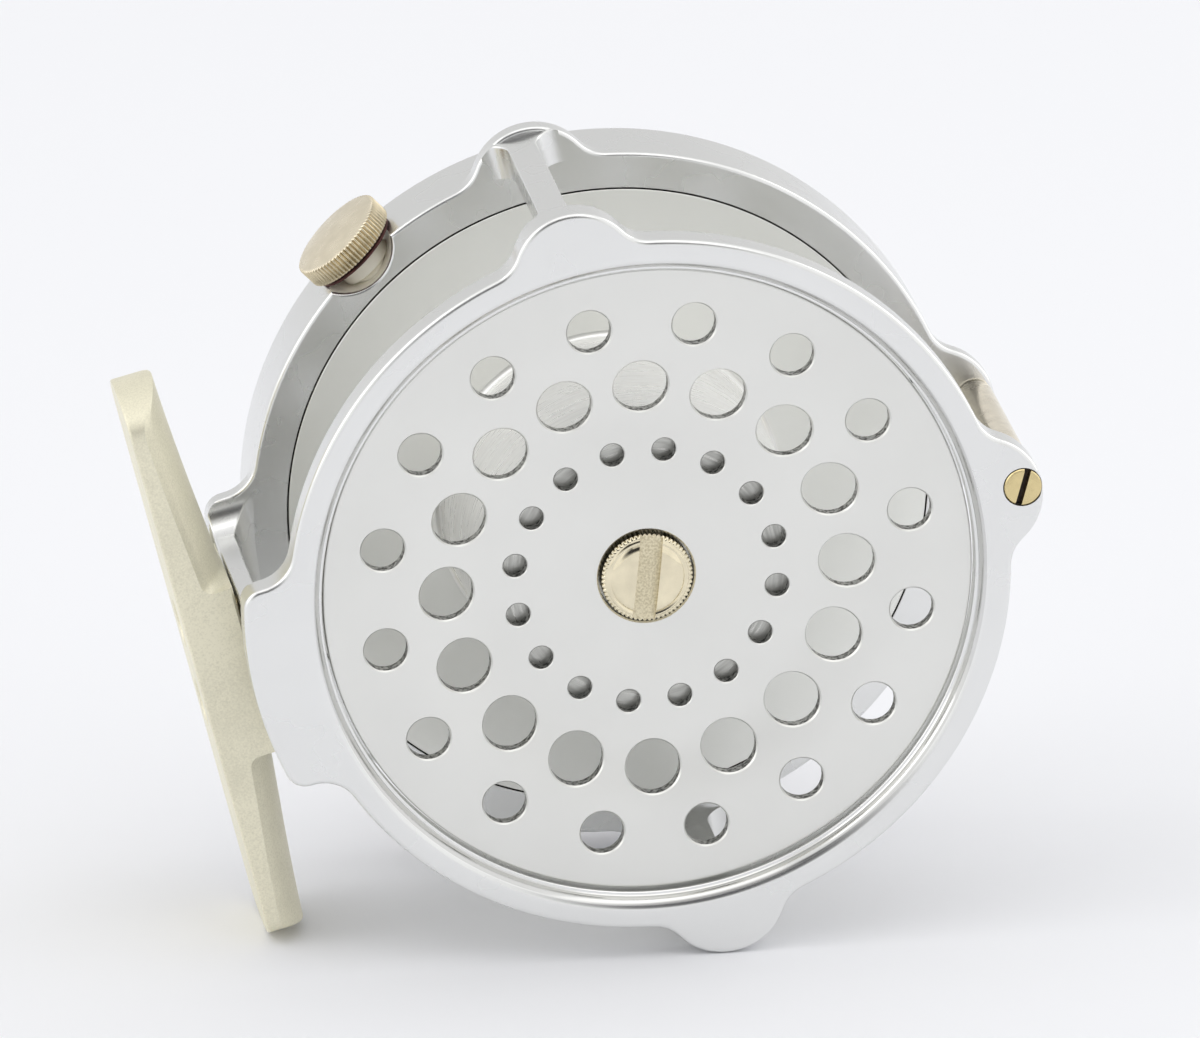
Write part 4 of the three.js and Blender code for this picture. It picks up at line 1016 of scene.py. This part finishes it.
def make_regulator():
    radius, inner, outer, teeth, tooth = KNOB_RADIUS, KNOB_INNER, KNOB_OUTER, KNOB_TEETH, KNOB_TOOTH
    count = teeth * KNURL_SIDES
    knob = loft("knob", [
        [(0, 40.25, 0)],
        circle(1.75, 40.25, count),
        circle(1.75, inner, count),
        circle(radius - 0.55, inner, count),
        circle(radius - 0.4, inner + 0.05, count),
        knurled(radius - 0.03, inner + 0.15, teeth, tooth),
        knurled(radius, inner + 0.25, teeth, tooth),
        knurled(radius, outer - 0.14, teeth, tooth),
        knurled(radius - 0.06, outer - 0.06, teeth, tooth),
        circle(radius - 0.34, outer + 0.02, count),
        circle(radius - 0.6, outer + 0.07, count),
        circle(radius - 1.4, outer + 0.2, count),
        circle(radius - 2.6, outer + 0.36, count),
        circle(radius - 4.2, outer + 0.47, count),
        [(0, outer + 0.5, 0)],
    ])
    side_faces = []
    for polygon in knob.data.polygons:
        x, y, z = (polygon.center - ORIGIN) / MM
        if inner + 0.1 < y < outer - 0.05 and math.hypot(x, z) > radius - 0.5:
            side_faces.append(polygon.index)
    turn_to(radial(knob, REGULATOR_DEPTH), REGULATOR_ANGLE)
    finish_piece(knob, "knob_body", "regulator", "regulator_knob", KNOB_NICKEL,
                 KNURL_SHARP_ANGLE)
    # The knurled side faces get the darker copy of the knob metal: painted shade.
    knob.data.materials.append(KNOB_SIDE_SHADE)
    for index in side_faces:
        knob.data.polygons[index].material_index = 1
    parts = (
        # Washer: its red is darkened as painted shade.
        ("regulator_washer", "regulator", "washer_red", WASHER_RED_SHADED, [
            (1.75, 38.0), (4.85, 38.0), (4.9, 38.05), (4.9, 38.2), (4.85, 38.25), (1.75, 38.25),
        ], True),
        # The bush shares the scallop's painted knob reflection.
        ("regulator_bush", "frame", "knob_nickel", KNOB_REFLECTION_PAINT, [
            (1.75, 33.9), (2.4, 33.9), (2.4, 35.7), (2.9, 36.0), (3.0, 36.1), (3.0, 37.5), (2.8, 37.7),
            (1.75, 37.7),
        ], True),
        ("regulator_stem", "regulator", "steel_bright", STEEL, [
            (0, 23.2), (0.8, 23.2), (0.9, 23.3), (0.9, 31.6), (1.45, 31.6), (1.45, 39.95), (0, 39.95),
        ], False),
    )
    for node, body, slot, material, profile, closed in parts:
        piece = radial(lathe(node, profile, SMALL_SIDES, closed), REGULATOR_DEPTH)
        turn_to(piece, REGULATOR_ANGLE)
        finish_piece(piece, node + "_body", body, node, material)


make_regulator()

# ---------------------------------------------------------------- handle side

HANDLE_ORBIT = 26.6
PLATE_HOLE_SIDES = 40
PLATE_SLOT_WIDTH, HANDLE_SLOT_WIDTH = 1.2, 0.6
GRIP_START, GRIP_LENGTH = 36.1, 19.0
GRIP_END = GRIP_START + GRIP_LENGTH
# The grip's radius at distances from its inner end
GRIP_KNOTS = ((4.3, 0.5), (4.05, 1.6), (3.6, 3.6), (3.5, 5.2), (3.75, 7.4), (4.4, 10.2), (4.85, 12.8),
              (4.85, 14.6), (4.62, 16.6), (4.2, 17.8))
GRIP_STEPS = 40


def make_handle_plate():
    plate = lathe("plate", [
        (SPINDLE_BORE, 32.6),
        (33.45, 32.6),
        (33.65, 32.8),
        (33.65, 34.2),
        (33.55, 34.42),
        (33.3, 34.58),
        (33.0, 34.6),
        (31.45, 34.6),
        (31.3, 34.52),
        *arc((30.85, 34.65), 0.5, -20, -160, 8),
        (30.3, 34.55),
        (30.1, 34.6),
        (10.4, 34.6),
        (9.2, 34.63),
        *arc((8.9, 35.0), 0.36, -85, -180, 5),
        (8.5, 35.6),
        *arc((7.98, 35.7), 0.3, 10, 90, 4),
        (4.9, 36.0),
        (4.7, 35.8),
        (4.7, 34.8),
        (SPINDLE_BORE, 34.8),
    ], PLATE_SIDES, closed=True)
    holes = []
    for z in (-HANDLE_ORBIT, HANDLE_ORBIT):
        hole = lathe("hole", [(0, 32), (1.8, 32), (1.8, 36), (0, 36)], PLATE_HOLE_SIDES)
        holes.append(shift(hole, 0, 0, z))
    boolean(plate, holes)
    finish_piece(plate, "handle_plate_body", "drum", "handle_plate", PLATE_SILVER)
    screw = lathe("screw", [
        (0, 27.7), (1.4, 27.7), (1.6, 27.9), (1.6, 35.1), (4.4, 35.1), (4.4, 36.55), (4.28, 36.75),
        (4.0, 36.86), (2.0, 36.89), (0, 36.9),
    ], SCREW_SIDES)
    boolean(screw, [box(-PLATE_SLOT_WIDTH / 2, PLATE_SLOT_WIDTH / 2, 36.2, 38, -6, 6)])
    finish_piece(screw, "plate_screw_body", "drum", "handle_plate_screw", BRASS_GOLD)
    weight = lathe("weight", [
        (0, 32.9), (1.5, 32.9), (1.5, 34.9), (6.0, 34.9), (6.2, 35.05), (6.2, 36.6),
        *arc((5.6, 36.7), 0.6, 0, 80, 6), (3.0, 37.27), (0, 37.3),
    ], SCREW_SIDES)
    shift(weight, 0, 0, HANDLE_ORBIT)
    finish_piece(weight, "counterweight_body", "drum", "counterweight", BRASS_GOLD)


def make_handle():
    pin = lathe("pin", [
        (0, 32.9), (1.5, 32.9), (1.5, 34.9), (3.0, 34.9), (3.2, 35.0), (3.2, 35.65), (3.05, 35.8),
        (1.5, 35.8), (1.5, 55.7), (1.1, 55.7), (1.1, 51.7), (0, 51.7),
    ], SMALL_SIDES)
    shift(pin, 0, 0, -HANDLE_ORBIT)
    finish_piece(pin, "handle_pin_body", "drum", "handle_pin", STEEL)
    radii = [radius for radius, _ in GRIP_KNOTS]
    along = [distance for _, distance in GRIP_KNOTS]
    smooth = []
    for place_along in np.linspace(along[0], along[-1], GRIP_STEPS):
        smooth.append((curve_through(along, radii, place_along), GRIP_START + place_along))
    grip = lathe("grip", [
        (1.8, GRIP_START),
        (3.8, GRIP_START),
        *arc((3.9, GRIP_START + 0.4), 0.4, -90, -10, 4),
        *smooth,
        *arc((3.2, GRIP_END - 1.0), 0.98, 12, 90, 6),
        (2.2, GRIP_END),
        (1.8, GRIP_END - 0.1),
    ], ROUND_SIDES, closed=True)
    shift(grip, 0, 0, -HANDLE_ORBIT)
    finish_piece(grip, "grip_body", "handle", "handle_grip", GRIP_WOOD)
    screw = lathe("screw", [
        (0, 52.8), (0.7, 52.8), (0.8, 52.9), (0.8, 56.0), (2.2, 56.0), (2.3, 56.1), (2.3, 56.45),
        (2.15, 56.7), (1.7, 56.86), (0, 56.9),
    ], SMALL_SIDES)
    boolean(screw, [box(-HANDLE_SLOT_WIDTH / 2, HANDLE_SLOT_WIDTH / 2, 56.5, 58, -3, 3)])
    shift(screw, 0, 0, -HANDLE_ORBIT)
    finish_piece(screw, "handle_screw_body", "drum", "handle_screw", BRASS_GOLD)


def curve_through(places, values, place_at):
    """A smooth curve through the given values (cubic Hermite with mean slopes)."""
    slopes = np.gradient(values, places)
    index = int(np.clip(np.searchsorted(places, place_at) - 1, 0, len(places) - 2))
    span = places[index + 1] - places[index]
    t = (place_at - places[index]) / span
    return (
        (2 * t**3 - 3 * t**2 + 1) * values[index]
        + (t**3 - 2 * t**2 + t) * span * slopes[index]
        + (3 * t**2 - 2 * t**3) * values[index + 1]
        + (t**3 - t**2) * span * slopes[index + 1]
    )


make_handle_plate()
make_handle()

# ---------------------------------------------------------------- inner pieces keep their CAD mesh

INNER_LOOKS = dict.fromkeys(
    ("tension_slider", "near_bearing_ball_cage", "far_bearing_ball_cage"), BRASS_GOLD,
)
for node_name, node in frame["nodes"].items():
    node.data.materials.clear()
    node.data.materials.append(INNER_LOOKS.get(node_name, STEEL))

# ---------------------------------------------------------------- studio

FLOOR_SIZE = 6.0


def make_floor():
    mesh = bpy.data.meshes.new("floor")
    h = FLOOR_SIZE / 2
    mesh.from_pydata([(-h, -h, 0), (h, -h, 0), (h, h, 0), (-h, h, 0)], [], [(0, 1, 2, 3)])
    floor = bpy.data.objects.new("floor", mesh)
    bpy.context.scene.collection.objects.link(floor)
    material, tree, shader = new_material("floor_paper", (0.9, 0.9, 0.92), 0.7, 0.0)
    cloud = noise(tree, 3.0, 2.0)
    paper = tint(tree, cloud, (0.875, 0.882, 0.912), (0.885, 0.892, 0.922))
    tree.links.new(paper, shader.inputs["Base Color"])
    mesh.materials.append(material)


make_floor()


LIGHT_COLOR = (1.0, 0.99, 0.97)


def soft_light(name, direction, distance, size, power):
    data = bpy.data.lights.new(name, "AREA")
    data.shape = "RECTANGLE"
    data.size, data.size_y = size
    data.energy = power
    data.color = LIGHT_COLOR
    light = bpy.data.objects.new(name, data)
    bpy.context.scene.collection.objects.link(light)
    target = ORIGIN + Vector((0, 15 * MM, 0))
    light.location = target + Vector(direction).normalized() * distance
    light.rotation_mode = "QUATERNION"
    light.rotation_quaternion = (target - light.location).to_track_quat("-Z", "Y")


soft_light("top_light", (0.05, -0.45, 1.0), 1.1, (1.0, 1.0), 1.7)
soft_light("left_light", (-1.0, -0.1, 0.6), 1.0, (0.5, 0.8), 1.4)
soft_light("right_light", (1.0, 0.3, 0.5), 1.0, (0.5, 0.8), 1.3)

# Polished metal reflects the unlit room in front of the reel and the dim wall behind it.
DARK_ROOM = Vector((-0.1, -0.82, 0.56)).normalized()
DIM_WALL = Vector((0.0, 0.92, 0.4)).normalized()
WHITE = (1.0, 1.0, 1.0)
WORLD_STRENGTH = 1.06


def darker_towards(tree, coordinates, direction, color, start, end):
    """White, and the given colour where the sky lies in the given direction."""
    towards = tree.nodes.new("ShaderNodeVectorMath")
    towards.operation = "DOT_PRODUCT"
    towards.inputs[1].default_value = direction
    tree.links.new(coordinates.outputs["Generated"], towards.inputs[0])
    return tint(tree, towards.outputs["Value"], WHITE, color, start, end)


def make_world():
    world = bpy.data.worlds.new("studio")
    bpy.context.scene.world = world
    world.use_nodes = True
    tree = world.node_tree
    background = tree.nodes["Background"]
    background.inputs["Strength"].default_value = WORLD_STRENGTH
    coordinates = tree.nodes.new("ShaderNodeTexCoord")
    room = darker_towards(tree, coordinates, DARK_ROOM, (0.04, 0.04, 0.045), 0.83, 0.95)
    wall = darker_towards(tree, coordinates, DIM_WALL, (0.7, 0.7, 0.7), 0.45, 0.95)
    both = tree.nodes.new("ShaderNodeMix")
    both.data_type = "RGBA"
    both.blend_type = "MULTIPLY"
    both.inputs["Factor"].default_value = 1.0
    tree.links.new(room, both.inputs["A"])
    tree.links.new(wall, both.inputs["B"])
    tree.links.new(both.outputs["Result"], background.inputs["Color"])


make_world()
bpy.context.scene.view_settings.view_transform = "Standard"

# ---------------------------------------------------------------- camera

CAMERA_AZIMUTH = -9.07
CAMERA_ELEVATION = 19.89
CAMERA_DISTANCE = 1.9026
CAMERA_SIDE, CAMERA_RISE = -0.00504, 0.00633
CAMERA_LENS = 547.8


def make_camera():
    a, e = math.radians(CAMERA_AZIMUTH), math.radians(CAMERA_ELEVATION)
    back = Vector((math.sin(a) * math.cos(e), -math.cos(a) * math.cos(e), math.sin(e)))
    right = Vector((math.cos(a), math.sin(a), 0))
    up = back.cross(right)
    data = bpy.data.cameras.new("camera")
    data.lens = CAMERA_LENS
    data.sensor_width = 36
    camera = bpy.data.objects.new("camera", data)
    bpy.context.scene.collection.objects.link(camera)
    camera.location = ORIGIN + back * CAMERA_DISTANCE + right * CAMERA_SIDE + up * CAMERA_RISE
    camera.rotation_mode = "QUATERNION"
    camera.rotation_quaternion = Matrix((right, up, back)).transposed().to_quaternion()
    data.clip_start, data.clip_end = 0.1, 20
    bpy.context.scene.camera = camera


make_camera()
